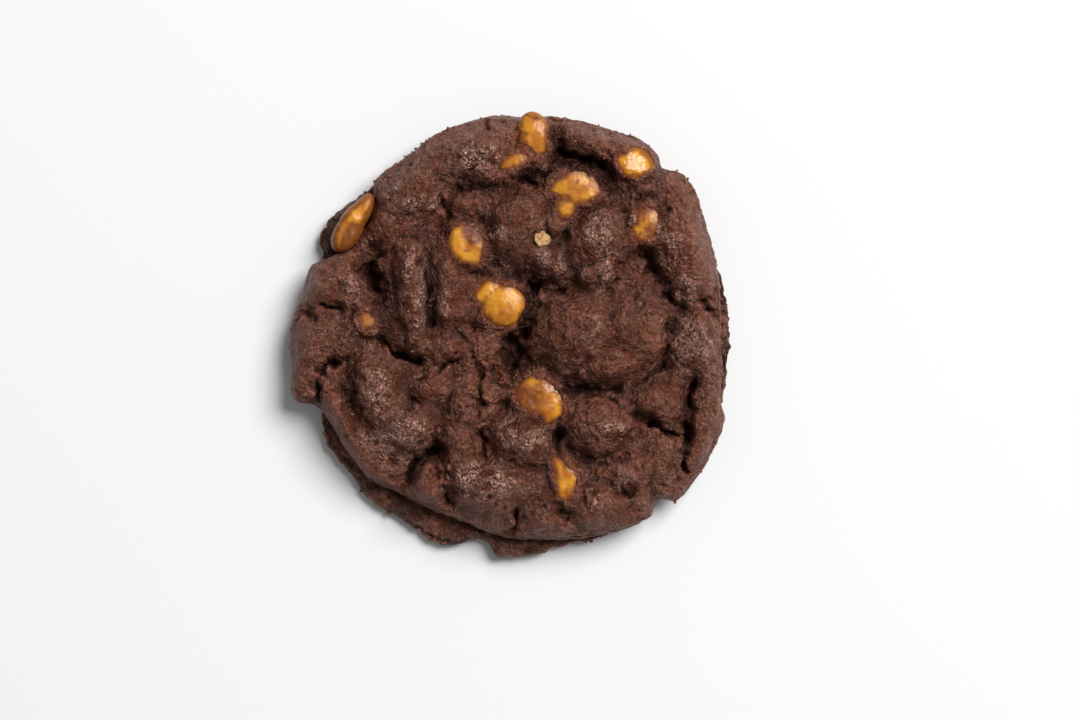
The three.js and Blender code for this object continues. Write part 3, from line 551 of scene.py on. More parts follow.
def chip_top(x, y, chip):
    """Height of a chip's upper surface: each lobe a dome over the widest line, the higher one counting,
    with shallow dents."""
    cx, cy, cz, lobes = chip
    crown = np.zeros(np.shape(x))
    for dx, dy, half_length, half_width, turn, rise in lobes:
        distance = ellipse_distance(x, y, cx + dx, cy + dy, half_length, half_width, turn)
        crown = np.maximum(crown, rise * np.sqrt(np.clip(1 - distance**CHIP_FLATNESS, 0, None)))
    dents = sum(high * unevenness(x / long, y / long, seed) for high, long, seed in CHIP_DENTS)
    dents = dents - TIPPED.get(chip, 0.0) * (x - cx + y - cy)
    return cz + crown + dents * smoothstep(crown, 0, 0.8)


def rounded(points):
    """A closed outline through the points, with a few short straight stretches to each span of the
    smooth curve."""
    p1 = np.array(points, float)
    p0, p2, p3 = np.roll(p1, 1, 0), np.roll(p1, -1, 0), np.roll(p1, -2, 0)
    t = (np.arange(OUTLINE_STEPS) / OUTLINE_STEPS)[None, :, None]
    curve = smooth_curve(*(p[:, None] for p in (p0, p1, p2, p3)), t)
    outline = curve.reshape(-1, 2).tolist()
    return outline + outline[:1]


ROUNDED_WINDOWS = {name: rounded(points) for name, points in WINDOWS.items()}
WINDOW_REACH = 9.0  # further than this from a chip's middle the dough takes no notice of it


def bareness(x, y, name):
    """Positive where a chip shows bare and negative where dough laps over it, in millimetres from the
    ragged edge between the two: a place is inside when a ray from it crosses the outline an odd number
    of times."""
    bare = np.full(np.shape(x), -WINDOW_REACH)
    near = np.hypot(x - CHIPS[name][0], y - CHIPS[name][1]) < WINDOW_REACH
    x, y = x[near], y[near]
    wx, wy = shifted(x, y, WINDOW_WANDER)
    outline = ROUNDED_WINDOWS[name]
    inside = np.zeros(np.shape(wx), bool)
    for (ax, ay), (bx, by) in zip(outline, outline[1:]):
        if ay != by:
            inside ^= ((ay > wy) != (by > wy)) & (wx < ax + (wy - ay) * (bx - ax) / (by - ay))
    distance = distance_to_path(wx, wy, outline)
    bare[near] = np.where(inside, distance, -distance)
    return bare


def seat_chips(x, y, height):
    """Lays the dough around each chip. Where the chip shows bare the dough lies hidden under it. From
    the bare place's edge the dough laps over the chip with an uneven lip, and goes on to the free
    dough: slowly where that lies lower, quickly where it lies higher."""
    lip = LIP * (1 + LIP_UNEVENNESS * unevenness(x / 2.6, y / 2.6, 95))
    seated = height
    for name, chip in CHIPS.items():
        bare = bareness(x, y, name)
        surface = chip_top(x, y, chip)
        _, _, widest, lobes = chip
        rise = max(crown for *_, crown in lobes)
        level = np.maximum(surface, widest + LIP_LEVEL * rise) + lip * smoothstep(-bare, 0, LIP_RISE)
        reach = np.where(seated < level, REACH_DOWN, REACH_UP)
        free = smoothstep(-bare / reach, 0.1, 1)
        outside = level + (seated - level) * free
        past = np.clip(chip_distance(x, y, chip) - 1.0, 0, None)
        outside = np.maximum(outside, surface + np.clip(-COAT_SLOPE * bare, 0, COAT) - COAT_END * past)
        inside = surface - np.clip(TUCK_SLOPE * bare, 0, TUCK)
        near = bare > -WINDOW_REACH
        seated = np.where(near, np.where(bare > 0, inside, outside), seated)
    return seated


def top_height(x, y, settings):
    """The lumps less the creases, with folds of two sizes, and laid around the chips. The larger folds
    are the size of an unevenness, which makes a sharp valley where it passes zero."""
    height = lump_height(x, y, settings) - crease_depth(x, y)
    wx, wy = shifted(x, y, FOLD_WANDER)
    high, long, seed = SHARP_FOLDS
    height += high * np.abs(unevenness(wx / long, wy / long, seed)) - high / 2
    high, long, seed = SOFT_FOLDS
    height += high * unevenness(wx / long, wy / long, seed)
    return seat_chips(x, y, height)


# ---- Side ----


def side_wander(degrees, seed, spread=SIDE_WANDER_DEGREES):
    """Unevenness from about -1 to 1 on the way round, over a given share of the turn in degrees. It
    closes after a turn."""
    around = 360 / spread / (2 * math.pi)
    a = np.radians(degrees)
    return unevenness(around * np.cos(a), around * np.sin(a), seed)


def groove_depth(degrees):
    """A shallow groove all round, with bell curves added where it runs deep."""
    depth = np.full(np.shape(degrees), GROOVE_DEPTH)
    for middle, spread, extra in DEEP_GROOVES:
        away = np.mod(degrees - middle + 180, 360) - 180
        depth += extra * np.exp(-((away / spread) ** 2))
    return depth


def side_profile(degrees, settings):
    """Radius and height of the side's rows at each angle, as two arrays of rows by angles: a quarter
    ellipse from the top's edge down to the widest line, blended with the relief, then a smooth curve
    through the groove, the lip, the foot and the edge on the table."""
    upper = outline_radius(UPPER_OUTLINE, degrees)
    foot = outline_radius(FOOT_OUTLINE, degrees)
    side = SIDE_HEIGHT + SIDE_WANDER * side_wander(degrees, 31)
    gap = GAP_HEIGHT + GAP_WANDER * side_wander(degrees, 31)
    low = FOOT_HEIGHT + FOOT_WANDER * side_wander(degrees, 33)
    c, s = np.cos(np.radians(degrees)), np.sin(np.radians(degrees))

    round_over = np.linspace(0, math.pi / 2, SHOULDER_ROWS + 1)[:, None]
    radius = upper - SHOULDER * (1 - np.sin(round_over))
    full = np.maximum(top_height(radius * c, radius * s, settings), side + SHOULDER_RISE)
    height = side + (full - side) * np.cos(round_over)

    groove = np.minimum(upper, foot) - groove_depth(degrees)
    lip = smoothstep(foot - upper, 0.5, 4)
    foot = foot + sum(far * side_wander(degrees, seed, spread) for far, seed, spread in FOOT_RAGGEDNESS)
    # Radii and heights that the lower curve runs through: the widest line, the groove, the lip, the
    # foot and the edge on the table.
    knots_r = [upper, groove + 0.25, groove * 0.3 + foot * 0.7 - 0.3, foot, foot - FOOT_TUCK]
    knots_z = [side, gap - 0.9 * lip, gap * 0.4 + low * 0.6 + 0.9 * lip, low, 0 * low]
    knots = np.stack([np.stack(knots_r), np.stack(knots_z)])
    first = 2 * knots[:, :1] - knots[:, 1:2]
    first[0] = knots[0, 1:2]
    last = 2 * knots[:, -1:] - knots[:, -2:-1]
    knots = np.concatenate([first, knots, last], axis=1)
    place = np.linspace(0, knots.shape[1] - 3, SIDE_ROWS + 1)[1:]
    k = np.minimum(place.astype(int), knots.shape[1] - 4)
    t = (place - k)[:, None]
    curve = smooth_curve(*(knots[:, k + n] for n in range(4)), t)
    return np.concatenate([radius, curve[0]]), np.concatenate([height, np.maximum(curve[1], 0)])


# ---- Dough ----


def square_to_disc(a, b):
    """Spreads a square's points, each coordinate from -1 to 1, over a disc: squares become rings.
    Gives the share of the radius and the angle in degrees."""
    wide = np.abs(a) >= np.abs(b)
    long = np.where(wide, a, b)
    ratio = np.divide(np.where(wide, b, a), long, out=np.zeros_like(a), where=long != 0)
    start = np.where(wide, np.where(a >= 0, 0.0, 180.0), np.where(b >= 0, 90.0, 270.0))
    return np.abs(long), np.mod(start + np.where(wide, 45.0, -45.0) * ratio, 360)


def vertex_normals(vertices, quads):
    """Unit normals, each the sum of the cross products of its faces' diagonals."""
    a, b, c, d = (vertices[quads[:, corner]] for corner in range(4))
    cross = np.cross(c - a, d - b)
    normals = np.zeros_like(vertices)
    for corner in range(4):
        for axis in range(3):
            normals[:, axis] += np.bincount(quads[:, corner], cross[:, axis], len(vertices))
    return normals / np.maximum(np.linalg.norm(normals, axis=1, keepdims=True), 1e-12)


def fan(middle, first, second):
    """Triangles from one point to each stretch of a ring, given by the stretches' two ends."""
    return np.stack([np.full(len(first), middle), first, second], 1)


def dough_grid(settings):
    """Vertices and quads of the dough without its underside, and the indices of its bottom ring: the
    top is a square grid spread over a disc, and the side's rows hang from its edge."""
    side = np.linspace(-1, 1, TOP_CELLS + 1)
    share, degrees = square_to_disc(*(axis.ravel() for axis in np.meshgrid(side, side)))
    radius = share * (outline_radius(UPPER_OUTLINE, degrees) - SHOULDER)
    x, y = radius * np.cos(np.radians(degrees)), radius * np.sin(np.radians(degrees))
    top = np.stack([x, y, top_height(x, y, settings)], 1)

    index = np.arange((TOP_CELLS + 1) ** 2).reshape(TOP_CELLS + 1, TOP_CELLS + 1)
    edge = np.concatenate([index[0, :-1], index[:-1, -1], index[-1, :0:-1], index[:0:-1, 0]])
    edge = edge[np.argsort(degrees[edge])]
    around = degrees[edge]
    side_r, side_z = side_profile(around, settings)
    top[edge, 2] = side_z[0]
    c, s = np.cos(np.radians(around)), np.sin(np.radians(around))
    hanging = np.stack([side_r[1:] * c, side_r[1:] * s, side_z[1:]], 2).reshape(-1, 3)

    ring = np.concatenate([edge[None], len(top) + np.arange(len(hanging)).reshape(-1, len(edge))])
    after = np.roll(ring, -1, axis=1)
    quads = [np.stack([index[:-1, :-1], index[:-1, 1:], index[1:, 1:], index[1:, :-1]], -1).reshape(-1, 4)]
    quads.append(np.stack([ring[:-1], ring[1:], after[1:], after[:-1]], -1).reshape(-1, 4))
    return np.concatenate([top, hanging]), np.concatenate(quads), ring[-1]


def underside(vertices, ring):
    """Rings that close the dough from below, each with as many points as the last or half as many,
    down to one point in the middle. Gives new vertices and triangles."""
    start = len(vertices)
    edge, added, triangles = vertices[ring], [], []
    current, step_now = ring, 1
    for share, step in UNDERSIDE_RINGS:
        points = edge[::step] * (share, share, 0)
        points[:, 2] = UNDERSIDE_RISE * (1 - share) ** 0.5
        fresh = start + sum(map(len, added)) + np.arange(len(points))
        added.append(points)
        nxt, fresh_next = np.roll(current, -1), np.roll(fresh, -1)
        if step == step_now:
            triangles += [np.stack([current, fresh, fresh_next], 1), np.stack([current, fresh_next, nxt], 1)]
        else:
            even, odd, even_next = current[::2], current[1::2], np.roll(current[::2], -1)
            triangles += [np.stack([even, fresh, odd], 1), np.stack([odd, fresh, fresh_next], 1),
                          np.stack([odd, fresh_next, even_next], 1)]
        current, step_now = fresh, step
    middle = start + sum(map(len, added))
    added.append(np.array([[0.0, 0.0, UNDERSIDE_RISE]]))
    triangles.append(fan(middle, np.roll(current, -1), current))
    return np.concatenate(added), np.concatenate(triangles)


def patch_mask(x, y, ellipses):
    """The strongest of the patches at each place, each fading out around its ellipse."""
    wx, wy = shifted(x, y, PATCH_WANDER)
    total = np.zeros(np.shape(x))
    for cx, cy, half_length, half_width, turn, strength in ellipses:
        distance = ellipse_distance(wx, wy, cx, cy, half_length, half_width, turn)
        total = np.maximum(total, strength * smoothstep(distance, 1.25, 0.6))
    return total


def nearest_chip(x, y):
    """The highest bareness of all the chips: how near a place is to the nearest bare one."""
    return np.max([bareness(x, y, name) for name in CHIPS], axis=0)


def bump_distance(p, size, bend, seed):
    """Squared distance, in bump sizes, to the middle of the nearest round bump, for bent points."""
    near, _ = nearest_seed(p + bend, size, seed)
    return near**2


def dough_detail(p, crease):
    """How far the surface stands out at each point, and how torn it is there: a wrinkled skin of rounded
    bumps between sharp small valleys, with crumbs where the dough is torn, layers at the rim and small
    pits."""
    warp = np.stack([grain(p, 2.4, seed) for seed in (61, 62, 63)], 1)
    skin = sum(height * (BUMP_LEVEL - bump_distance(p, size, bend * warp, seed))
               for size, height, bend, seed in SKIN_BUMPS)
    skin += sum(height * grain(p, long, seed) for long, height, seed in SKIN_WAVES)
    skin *= CALM + WRINKLED * smoothstep(grain(p, 8.0, 68), -0.3, 0.35)

    out = np.hypot(p[:, 0], p[:, 1])
    low_side = smoothstep(out, *RIM_STARTS) * smoothstep(p[:, 2], 8.0, 5.0)
    torn = smoothstep(grain(p, 9.0, 67) + 1.1 * crease + 0.9 * low_side, 0.3, 0.9)
    size, bend, seed, height, reach = TORN_CRUMBS
    crumbs = height * np.clip(reach - bump_distance(p, size, bend * warp, seed), 0, None)

    spacing, share, depth, wide = PITS
    near, number = nearest_seed(p, spacing, 81)
    pits = np.where(number < share, -depth * np.exp(-((near / wide) ** 2)), 0)

    layer = p[:, 2] + sum(height * grain(p, long, seed) for long, height, seed in LAYER_WAVES)
    middle, half, depth = LAYER_GROOVE
    edge = np.abs(np.mod(layer, LAYER_THICKNESS) - middle)
    at_rim = smoothstep(out, *LAYER_STARTS) * smoothstep(p[:, 2], 9.5, 7.5)
    at_rim *= smoothstep(grain(p, 11.0, 84), -0.45, 0.1)
    layers = -depth * np.exp(-((edge / half) ** 2)) * at_rim
    return skin - SKIN_LEVEL + torn * (crumbs - TORN_DEPTH) + pits + layers, torn


def hollowness(vertices, quads, passes):
    """How far each point lies below the average of its surroundings, along its normal: the points are
    averaged with their neighbours, again and again, and the shift is measured."""
    pairs = np.concatenate([quads[:, [k, (k + 1) % 4]] for k in range(4)])
    ends = np.concatenate([pairs, pairs[:, ::-1]])
    count = np.bincount(ends[:, 0], minlength=len(vertices))[:, None]
    smooth = vertices
    for _ in range(passes):
        around = [np.bincount(ends[:, 0], smooth[ends[:, 1], axis], len(vertices)) for axis in range(3)]
        smooth = 0.5 * smooth + 0.5 * np.stack(around, 1) / count
    return np.sum((smooth - vertices) * vertex_normals(smooth, quads), axis=1)


def new_piece(name, vertices, faces, material):
    """A mesh piece from arrays in millimetres, smooth-shaded, that rides on the whole cookie."""
    mesh = bpy.data.meshes.new(name)
    mesh.from_pydata((vertices * MM).tolist(), [], faces)
    mesh.update()
    mesh.polygons.foreach_set("use_smooth", np.ones(len(mesh.polygons), bool))
    mesh.materials.append(material)
    piece = bpy.data.objects.new(name, mesh)
    bpy.context.collection.objects.link(piece)
    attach(piece, "root")
    return piece


def add_mask(piece, name, values):
    """Gives each point of a piece a value that its material can read."""
    attribute = piece.data.attributes.new(name, "FLOAT", "POINT")
    attribute.data.foreach_set("value", np.ascontiguousarray(values, np.float32))


def frame_shift():
    """How far the frame's chips lie from the places above, in millimetres, from a chip of one lobe."""
    low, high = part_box("chip_lower")
    return (np.array((low + high) / 2)[:2] / MM - CHIPS["chip_lower"][:2]).tolist() + [0.0]


def dough_masks(vertices, quads, torn, near_chip):
    """The masks that the dough's material reads, by name."""
    x, y, z = vertices.T
    # Painted shadow of the upper layer on the foot under the groove; it joins the moist patches' mask.
    shaded = FOOT_SHADE * smoothstep(z, 5.2, 3.6) * smoothstep(grain(vertices, 5.0, 86), 0.4, -0.3)
    shaded *= smoothstep(np.hypot(x, y), 38.0, 41.0)
    masks = {
        "torn": torn,
        "greasy": patch_mask(x, y, GREASY),
        "dry": patch_mask(x, y, DRY),
        "moist_and_shade": np.maximum(patch_mask(x, y, MOIST_AND_SHADE_PATCHES), shaded),
        "stained": smoothstep(near_chip, -1.8, -0.1),
    }
    counts = sorted({passes for passes, _, _ in HOLLOW_MASKS.values()})
    depths = {passes: hollowness(vertices, quads, passes) for passes in counts}
    for name, (passes, starts, full) in HOLLOW_MASKS.items():
        masks[name] = smoothstep(depths[passes], starts, full)
    return masks


def make_dough(settings):
    """The dough's grid, moved out or in along its normals by the fine relief, which fades near the
    chips and the table, and closed from below."""
    vertices, quads, bottom = dough_grid(settings)
    crease = np.clip(crease_depth(vertices[:, 0], vertices[:, 1]) / 2, 0, 1)
    crease *= smoothstep(vertices[:, 2], 5.0, 8.0)
    stands_out, torn = dough_detail(vertices, crease)
    near_chip = nearest_chip(vertices[:, 0], vertices[:, 1])
    stands_out *= 1 - 0.9 * smoothstep(near_chip, -0.9, -0.2)
    flat_near_table = smoothstep(vertices[:, 2], 0.0, 1.5)
    vertices = vertices + vertex_normals(vertices, quads) * (stands_out * flat_near_table)[:, None]
    vertices[:, 2] = np.maximum(vertices[:, 2], 0)
    more, triangles = underside(vertices, bottom)
    everything = np.concatenate([vertices, more]) + frame_shift()
    faces = quads.tolist() + triangles.tolist()
    piece = new_piece("cookie_dough", everything, faces, dough_material(settings))
    for name, values in dough_masks(vertices, quads, torn, near_chip).items():
        add_mask(piece, name, np.concatenate([values, np.zeros(len(more))]))
    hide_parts("dough")
    return piece


# ---- Chips ----


def chip_outline(chip, degrees):
    """Radius of a chip's outline at each angle from its reference point: the furthest crossing of
    the ray with any lobe."""
    _, _, _, lobes = chip
    furthest = np.full(np.shape(degrees), SMALLEST_CHIP)
    a = np.radians(degrees)
    for dx, dy, half_length, half_width, turn, _ in lobes:
        c, s = math.cos(math.radians(turn)), math.sin(math.radians(turn))
        ux, uy = (np.cos(a) * c + np.sin(a) * s) / half_length, (np.sin(a) * c - np.cos(a) * s) / half_width
        ox, oy = (-dx * c - dy * s) / half_length, (-dy * c + dx * s) / half_width
        qa, qb, qc = ux * ux + uy * uy, ux * ox + uy * oy, ox * ox + oy * oy - 1
        root = qb * qb - qa * qc
        furthest = np.maximum(furthest, np.where(root > 0, (-qb + np.sqrt(np.abs(root))) / qa, 0))
    return furthest


def make_chip(name, chip, settings):
    """A closed shell in rings from the crown over the widest line to the bottom. The height over the
    widest line is the lobes' domes, and below it one shallow bowl."""
    degrees = np.arange(CHIP_COLUMNS) * 360 / CHIP_COLUMNS
    outline = chip_outline(chip, degrees)
    t = np.linspace(-1, 1, CHIP_ROWS + 1)[1:-1, None] * math.pi / 2
    radius = outline * np.cos(t) ** CHIP_ROUNDING
    cx, cy, cz, _ = chip
    a = np.radians(degrees)
    x, y = cx + radius * np.cos(a), cy + radius * np.sin(a)
    height = np.where(t > 0, chip_top(x, y, chip), cz + CHIP_DEPTH * np.sin(t))
    middle = chip_top(np.array([cx]), np.array([cy]), chip)[0]
    rings = np.stack([x, y, height], 2).reshape(-1, 3)
    vertices = np.concatenate([rings, [[cx, cy, cz - CHIP_DEPTH], [cx, cy, middle]]])
    ring = np.arange(len(rings)).reshape(-1, CHIP_COLUMNS)
    after = np.roll(ring, -1, axis=1)
    quads = np.stack([ring[:-1], after[:-1], after[1:], ring[1:]], -1).reshape(-1, 4)
    bottom, crown = len(rings), len(rings) + 1
    caps = np.concatenate([fan(bottom, after[0], ring[0]), fan(crown, ring[-1], after[-1])])
    film = patch_mask(vertices[:, 0], vertices[:, 1], FILMS)
    # Near the dough the chip's colour darkens: soaked caramel, and painted shade where the chip sinks into
    # the dough.
    edge = smoothstep(bareness(vertices[:, 0], vertices[:, 1], name), 0.9, 0.0)
    normals = vertex_normals(vertices, quads)
    high, long, seed = CHIP_GRAIN
    uneven = high * grain(vertices, long, seed)
    vertices = vertices + normals * uneven[:, None] + frame_shift()
    faces = quads.tolist() + caps.tolist()
    piece = new_piece("caramel_" + name, vertices, faces, chip_material(settings))
    add_mask(piece, "film", film)
    add_mask(piece, "edge", edge)
    add_mask(piece, "glossy", np.full(len(vertices), GLOSSY.get(name, 0.0)))
    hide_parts(name)
    return piece


# ---- Flake and crumbs ----


def make_flake(settings):
    """A thin wafer: rings of a wavy outline, above and below, on the plane that fits the dough under it
    best, as high as the bumps that carry it."""
    columns, rings = FLAKE_COLUMNS, FLAKE_RINGS
    a = np.arange(columns) * 2 * np.pi / columns
    edge = 1 + 0.22 * unevenness(1.6 * np.cos(a) + 3, 1.6 * np.sin(a), 111)
    edge += 0.08 * unevenness(5 * np.cos(a), 5 * np.sin(a), 112)
    share = np.arange(1, rings + 1)[:, None] / rings
    x = (share * edge * np.cos(a)).ravel() * settings.flake_length / 2 / MM
    y = (share * edge * np.sin(a)).ravel() * settings.flake_width / 2 / MM
    x, y = np.append(x, 0) + FLAKE_PLACE[0], np.append(y, 0) + FLAKE_PLACE[1]
    ground = top_height(x, y, bpy.context.scene.cookie_dough)
    plane = np.stack([x, y, np.ones(len(x))], 1)
    level = plane @ np.linalg.lstsq(plane, ground, rcond=None)[0]
    level += 0.5 * np.max(ground - level) + 0.1 * unevenness(x / 0.9, y / 0.9, 113)
    rounding = np.sqrt(1 - 0.8 * np.append(np.repeat(share, columns) ** 6, 0))
    half = settings.flake_thickness / MM / 2 * rounding
    count = len(x)
    vertices = np.concatenate([np.stack([x, y, level + half], 1), np.stack([x, y, level - half], 1)])
    ring = np.arange(rings * columns).reshape(rings, columns)
    after = np.roll(ring, -1, axis=1)
    above = np.stack([ring[:-1], ring[1:], after[1:], after[:-1]], -1).reshape(-1, 4)
    below = above[:, ::-1] + count
    side = np.stack([ring[-1], ring[-1] + count, after[-1] + count, after[-1]], -1)
    quads = np.concatenate([above, below, side])
    caps = [fan(count - 1, ring[0], after[0]), fan(2 * count - 1, after[0] + count, ring[0] + count)]
    faces = quads.tolist() + np.concatenate(caps).tolist()
    return new_piece("pale_flake", vertices + frame_shift(), faces, flake_material(settings))


def twenty_sided():
    """Corners and faces of a twenty-sided lump of radius 1: a corner at each pole and between them two
    rings of five, the lower one turned by half a step."""
    turns = 2 * np.pi / 5 * (np.arange(5) + [[0.0], [0.5]])
    across, up = math.sqrt(0.8), math.sqrt(0.2)
    heights = np.broadcast_to([[up], [-up]], turns.shape)
    rings = np.stack([across * np.cos(turns), across * np.sin(turns), heights], 2).reshape(-1, 3)
    corners = np.concatenate([[[0, 0, 1]], rings, [[0, 0, -1]]])
    upper = np.arange(1, 6)
    upper_next, lower, lower_next = np.roll(upper, -1), upper + 5, np.roll(upper, -1) + 5
    faces = [fan(0, upper, upper_next), np.stack([upper, lower, upper_next], 1),
             np.stack([upper_next, lower, lower_next], 1), fan(11, lower_next, lower)]
    return corners, np.concatenate(faces)


def make_crumbs(settings):
    """Crumbs, each a twenty-sided lump of twelve uneven corners, half sunk in the crust where it is torn
    or layered and more thinly everywhere else. Their places are drawn from the dough's own points."""
    dough = bpy.data.objects["cookie_dough"].data
    count = len(dough.vertices)
    places, normals = np.empty(3 * count), np.empty(3 * count)
    torn, valley, moist_and_shade = (np.empty(count, np.float32) for _ in range(3))
    dough.vertices.foreach_get("co", places)
    dough.vertex_normals.foreach_get("vector", normals)
    for name, values in (("torn", torn), ("valley", valley), ("moist_and_shade", moist_and_shade)):
        dough.attributes[name].data.foreach_get("value", values)
    places, normals = places.reshape(-1, 3) / MM, normals.reshape(-1, 3)
    bare = nearest_chip(places[:, 0], places[:, 1]) > -0.5
    likely = (0.03 + torn**2) * smoothstep(places[:, 2], 0.6, 1.5) * ~bare * (1 - valley) * (1 - 0.9 * moist_and_shade)
    random = np.random.default_rng(settings.seed)
    chosen = random.choice(count, settings.crumbs, replace=False, p=likely / likely.sum())

    corners, faces = twenty_sided()
    size = random.uniform(0, 1, (len(chosen), 1, 1)) ** 2.5
    size = (settings.smallest + (settings.largest - settings.smallest) * size) / MM / 2
    stretch = random.uniform(0.6, 1.3, (len(chosen), 1, 3))
    uneven = random.uniform(0.65, 1.2, (len(chosen), len(corners), 1))
    turn = np.linalg.qr(random.normal(size=(len(chosen), 3, 3)))[0]
    turn *= np.sign(np.linalg.det(turn))[:, None, None]
    shapes = (corners * stretch * uneven * size) @ turn
    vertices = shapes + (places[chosen] + normals[chosen] * size[:, 0] * 0.35)[:, None]
    vertices[..., 2] = np.maximum(vertices[..., 2], 0)
    offsets = len(corners) * np.arange(len(chosen))[:, None, None]
    triangles = (faces + offsets).reshape(-1, 3)
    material = crumb_material(settings)
    piece = new_piece("loose_crumbs", vertices.reshape(-1, 3), triangles.tolist(), material)
    add_mask(piece, "tone", np.repeat(random.uniform(0, 1, len(chosen)), len(corners)))
    return piece


# ---- Materials ----

# How nodes stand in the editor: nodes to a column, and the columns' and rows' spacing.
COLUMN_NODES, COLUMN_WIDTH, ROW_HEIGHT = 6, 220, 260


def feed(tree, node, inputs):
    """Links or sets a node's inputs, given by name or number."""
    for name, value in inputs.items():
        if isinstance(value, bpy.types.NodeSocket):
            tree.links.new(value, node.inputs[name])
        else:
            node.inputs[name].default_value = value


def add_node(tree, kind, inputs=None, **values):
    """Adds a node with its settings and inputs."""
    node = tree.nodes.new(kind)
    column, row = divmod(len(tree.nodes), COLUMN_NODES)
    node.location = (COLUMN_WIDTH * column, -ROW_HEIGHT * row)
    for name, value in values.items():
        setattr(node, name, value)
    feed(tree, node, inputs or {})
    return node


def calculated(tree, operation, *values):
    """What a sum node makes of its values."""
    return add_node(tree, "ShaderNodeMath", dict(enumerate(values)), operation=operation).outputs[0]


def times(tree, first, second):
    return calculated(tree, "MULTIPLY", first, second)


def scaled(tree, value, factor, start):
    """The value times a factor, from a start."""
    return calculated(tree, "MULTIPLY_ADD", value, factor, start)


def strongest(tree, first, *others):
    """The highest of several masks."""
    for other in others:
        first = calculated(tree, "MAXIMUM", first, other)
    return first


def between(tree, value, low, high, start=0.0, end=1.0):
    """A rise from start to end, without slope at either, as the value goes from low to high."""
    inputs = {"Value": value, "From Min": low, "From Max": high, "To Min": start, "To Max": end}
    return add_node(tree, "ShaderNodeMapRange", inputs, interpolation_type="SMOOTHSTEP").outputs["Result"]


def mixed(tree, mask, first, second):
    """The first colour where the mask is 0 and the second where it is 1."""
    inputs = {0: mask, 6: first, 7: second}
    return add_node(tree, "ShaderNodeMix", inputs, data_type="RGBA").outputs[2]


def layered(tree, colour, layers):
    """Lays colours over one another, each by its mask and at its strength."""
    for mask, strength, cover in layers:
        colour = mixed(tree, times(tree, mask, strength), colour, cover)
    return colour


def mask_of(tree, name):
    """A mask that the piece carries on its points."""
    return add_node(tree, "ShaderNodeAttribute", attribute_name=name).outputs["Fac"]


def object_place(tree):
    return add_node(tree, "ShaderNodeTexCoord").outputs["Object"]


def effect(name, inputs, outputs, build):
    """A shader node group, built once: inputs with their usual values, and the outputs that the build
    function makes from them."""
    if name in bpy.data.node_groups:
        return bpy.data.node_groups[name]
    tree = bpy.data.node_groups.new(name, "ShaderNodeTree")
    for label, usual in inputs.items():
        made = tree.interface.new_socket(label, in_out="INPUT", socket_type="NodeSocketFloat")
        made.default_value = usual
    for label in outputs:
        tree.interface.new_socket(label, in_out="OUTPUT", socket_type="NodeSocketFloat")
    given = add_node(tree, "NodeGroupInput").outputs
    add_node(tree, "NodeGroupOutput", build(tree, given))
    return tree


def build_patches(tree, given):
    """Noise in Object coordinates, stretched to 0..1 between two levels."""
    scale = calculated(tree, "DIVIDE", 1.0, given["Size"])
    inputs = {"Vector": object_place(tree), "Scale": scale, "Detail": given["Detail"]}
    noise = add_node(tree, "ShaderNodeTexNoise", inputs).outputs["Fac"]
    return {"Mask": between(tree, noise, given["Low"], given["High"])}


def patches(tree, size, detail, low, high):
    """A mask of uneven patches: their size in metres, and the noise's detail and two levels."""
    usual = {"Size": 0.004, "Detail": 3.0, "Low": 0.35, "High": 0.65}
    group = effect("Uneven patches", usual, ["Mask"], build_patches)
    inputs = {"Size": size, "Detail": detail, "Low": low, "High": high}
    return add_node(tree, "ShaderNodeGroup", inputs, node_tree=group).outputs["Mask"]


def build_crust(tree, given):
    """Fine crust in Object coordinates. Height: round grains and noise less thin cracks between small
    plates. Cracks: 1 along these cracks. Glints: 1 on the tops of some grains and along short curved
    strokes, where a noise passes its middle value."""
    where = object_place(tree)
    bend = add_node(tree, "ShaderNodeTexNoise", {"Vector": where, "Scale": 1100, "Detail": 2}).outputs
    bent = add_node(tree, "ShaderNodeVectorMath", {0: bend["Color"], 1: (0.0009, 0.0009, 0.0009), 2: where},
                    operation="MULTIPLY_ADD").outputs[0]
    plates = add_node(tree, "ShaderNodeTexVoronoi", {"Vector": bent, "Scale": given["Plates"]},
                      feature="DISTANCE_TO_EDGE").outputs["Distance"]
    grains = add_node(tree, "ShaderNodeTexVoronoi", {"Vector": bent, "Scale": given["Grains"]}).outputs
    scale = times(tree, given["Grains"], 0.8)
    noise = add_node(tree, "ShaderNodeTexNoise",
                     {"Vector": where, "Scale": scale, "Detail": 4, "Roughness": 0.65}).outputs["Fac"]
    folds = add_node(tree, "ShaderNodeTexNoise", {"Vector": bent, "Scale": 700, "Detail": 2}).outputs["Fac"]

    crack_width = scaled(tree, bend["Fac"], 0.9, -0.3)
    cracks = between(tree, plates, 0.0, crack_width, 1.0, 0.0)
    off_middle = calculated(tree, "ABSOLUTE", calculated(tree, "SUBTRACT", folds, 0.5))
    strokes = times(tree, between(tree, off_middle, 0.05, 0.01), between(tree, noise, 0.48, 0.6))

    height = scaled(tree, calculated(tree, "POWER", grains["Distance"], 2.0), -0.45, 1.0)
    for part, share in ((folds, 4.0), (noise, 2.2), (strokes, 0.4), (cracks, -0.35)):
        height = scaled(tree, part, share, height)
    number = add_node(tree, "ShaderNodeSeparateColor", {"Color": grains["Color"]}).outputs["Red"]
    chosen = calculated(tree, "LESS_THAN", number, given["Share"])
    dots = times(tree, chosen, between(tree, grains["Distance"], 0.5, 0.25))
    return {"Height": height, "Cracks": cracks, "Glints": strongest(tree, dots, strokes)}


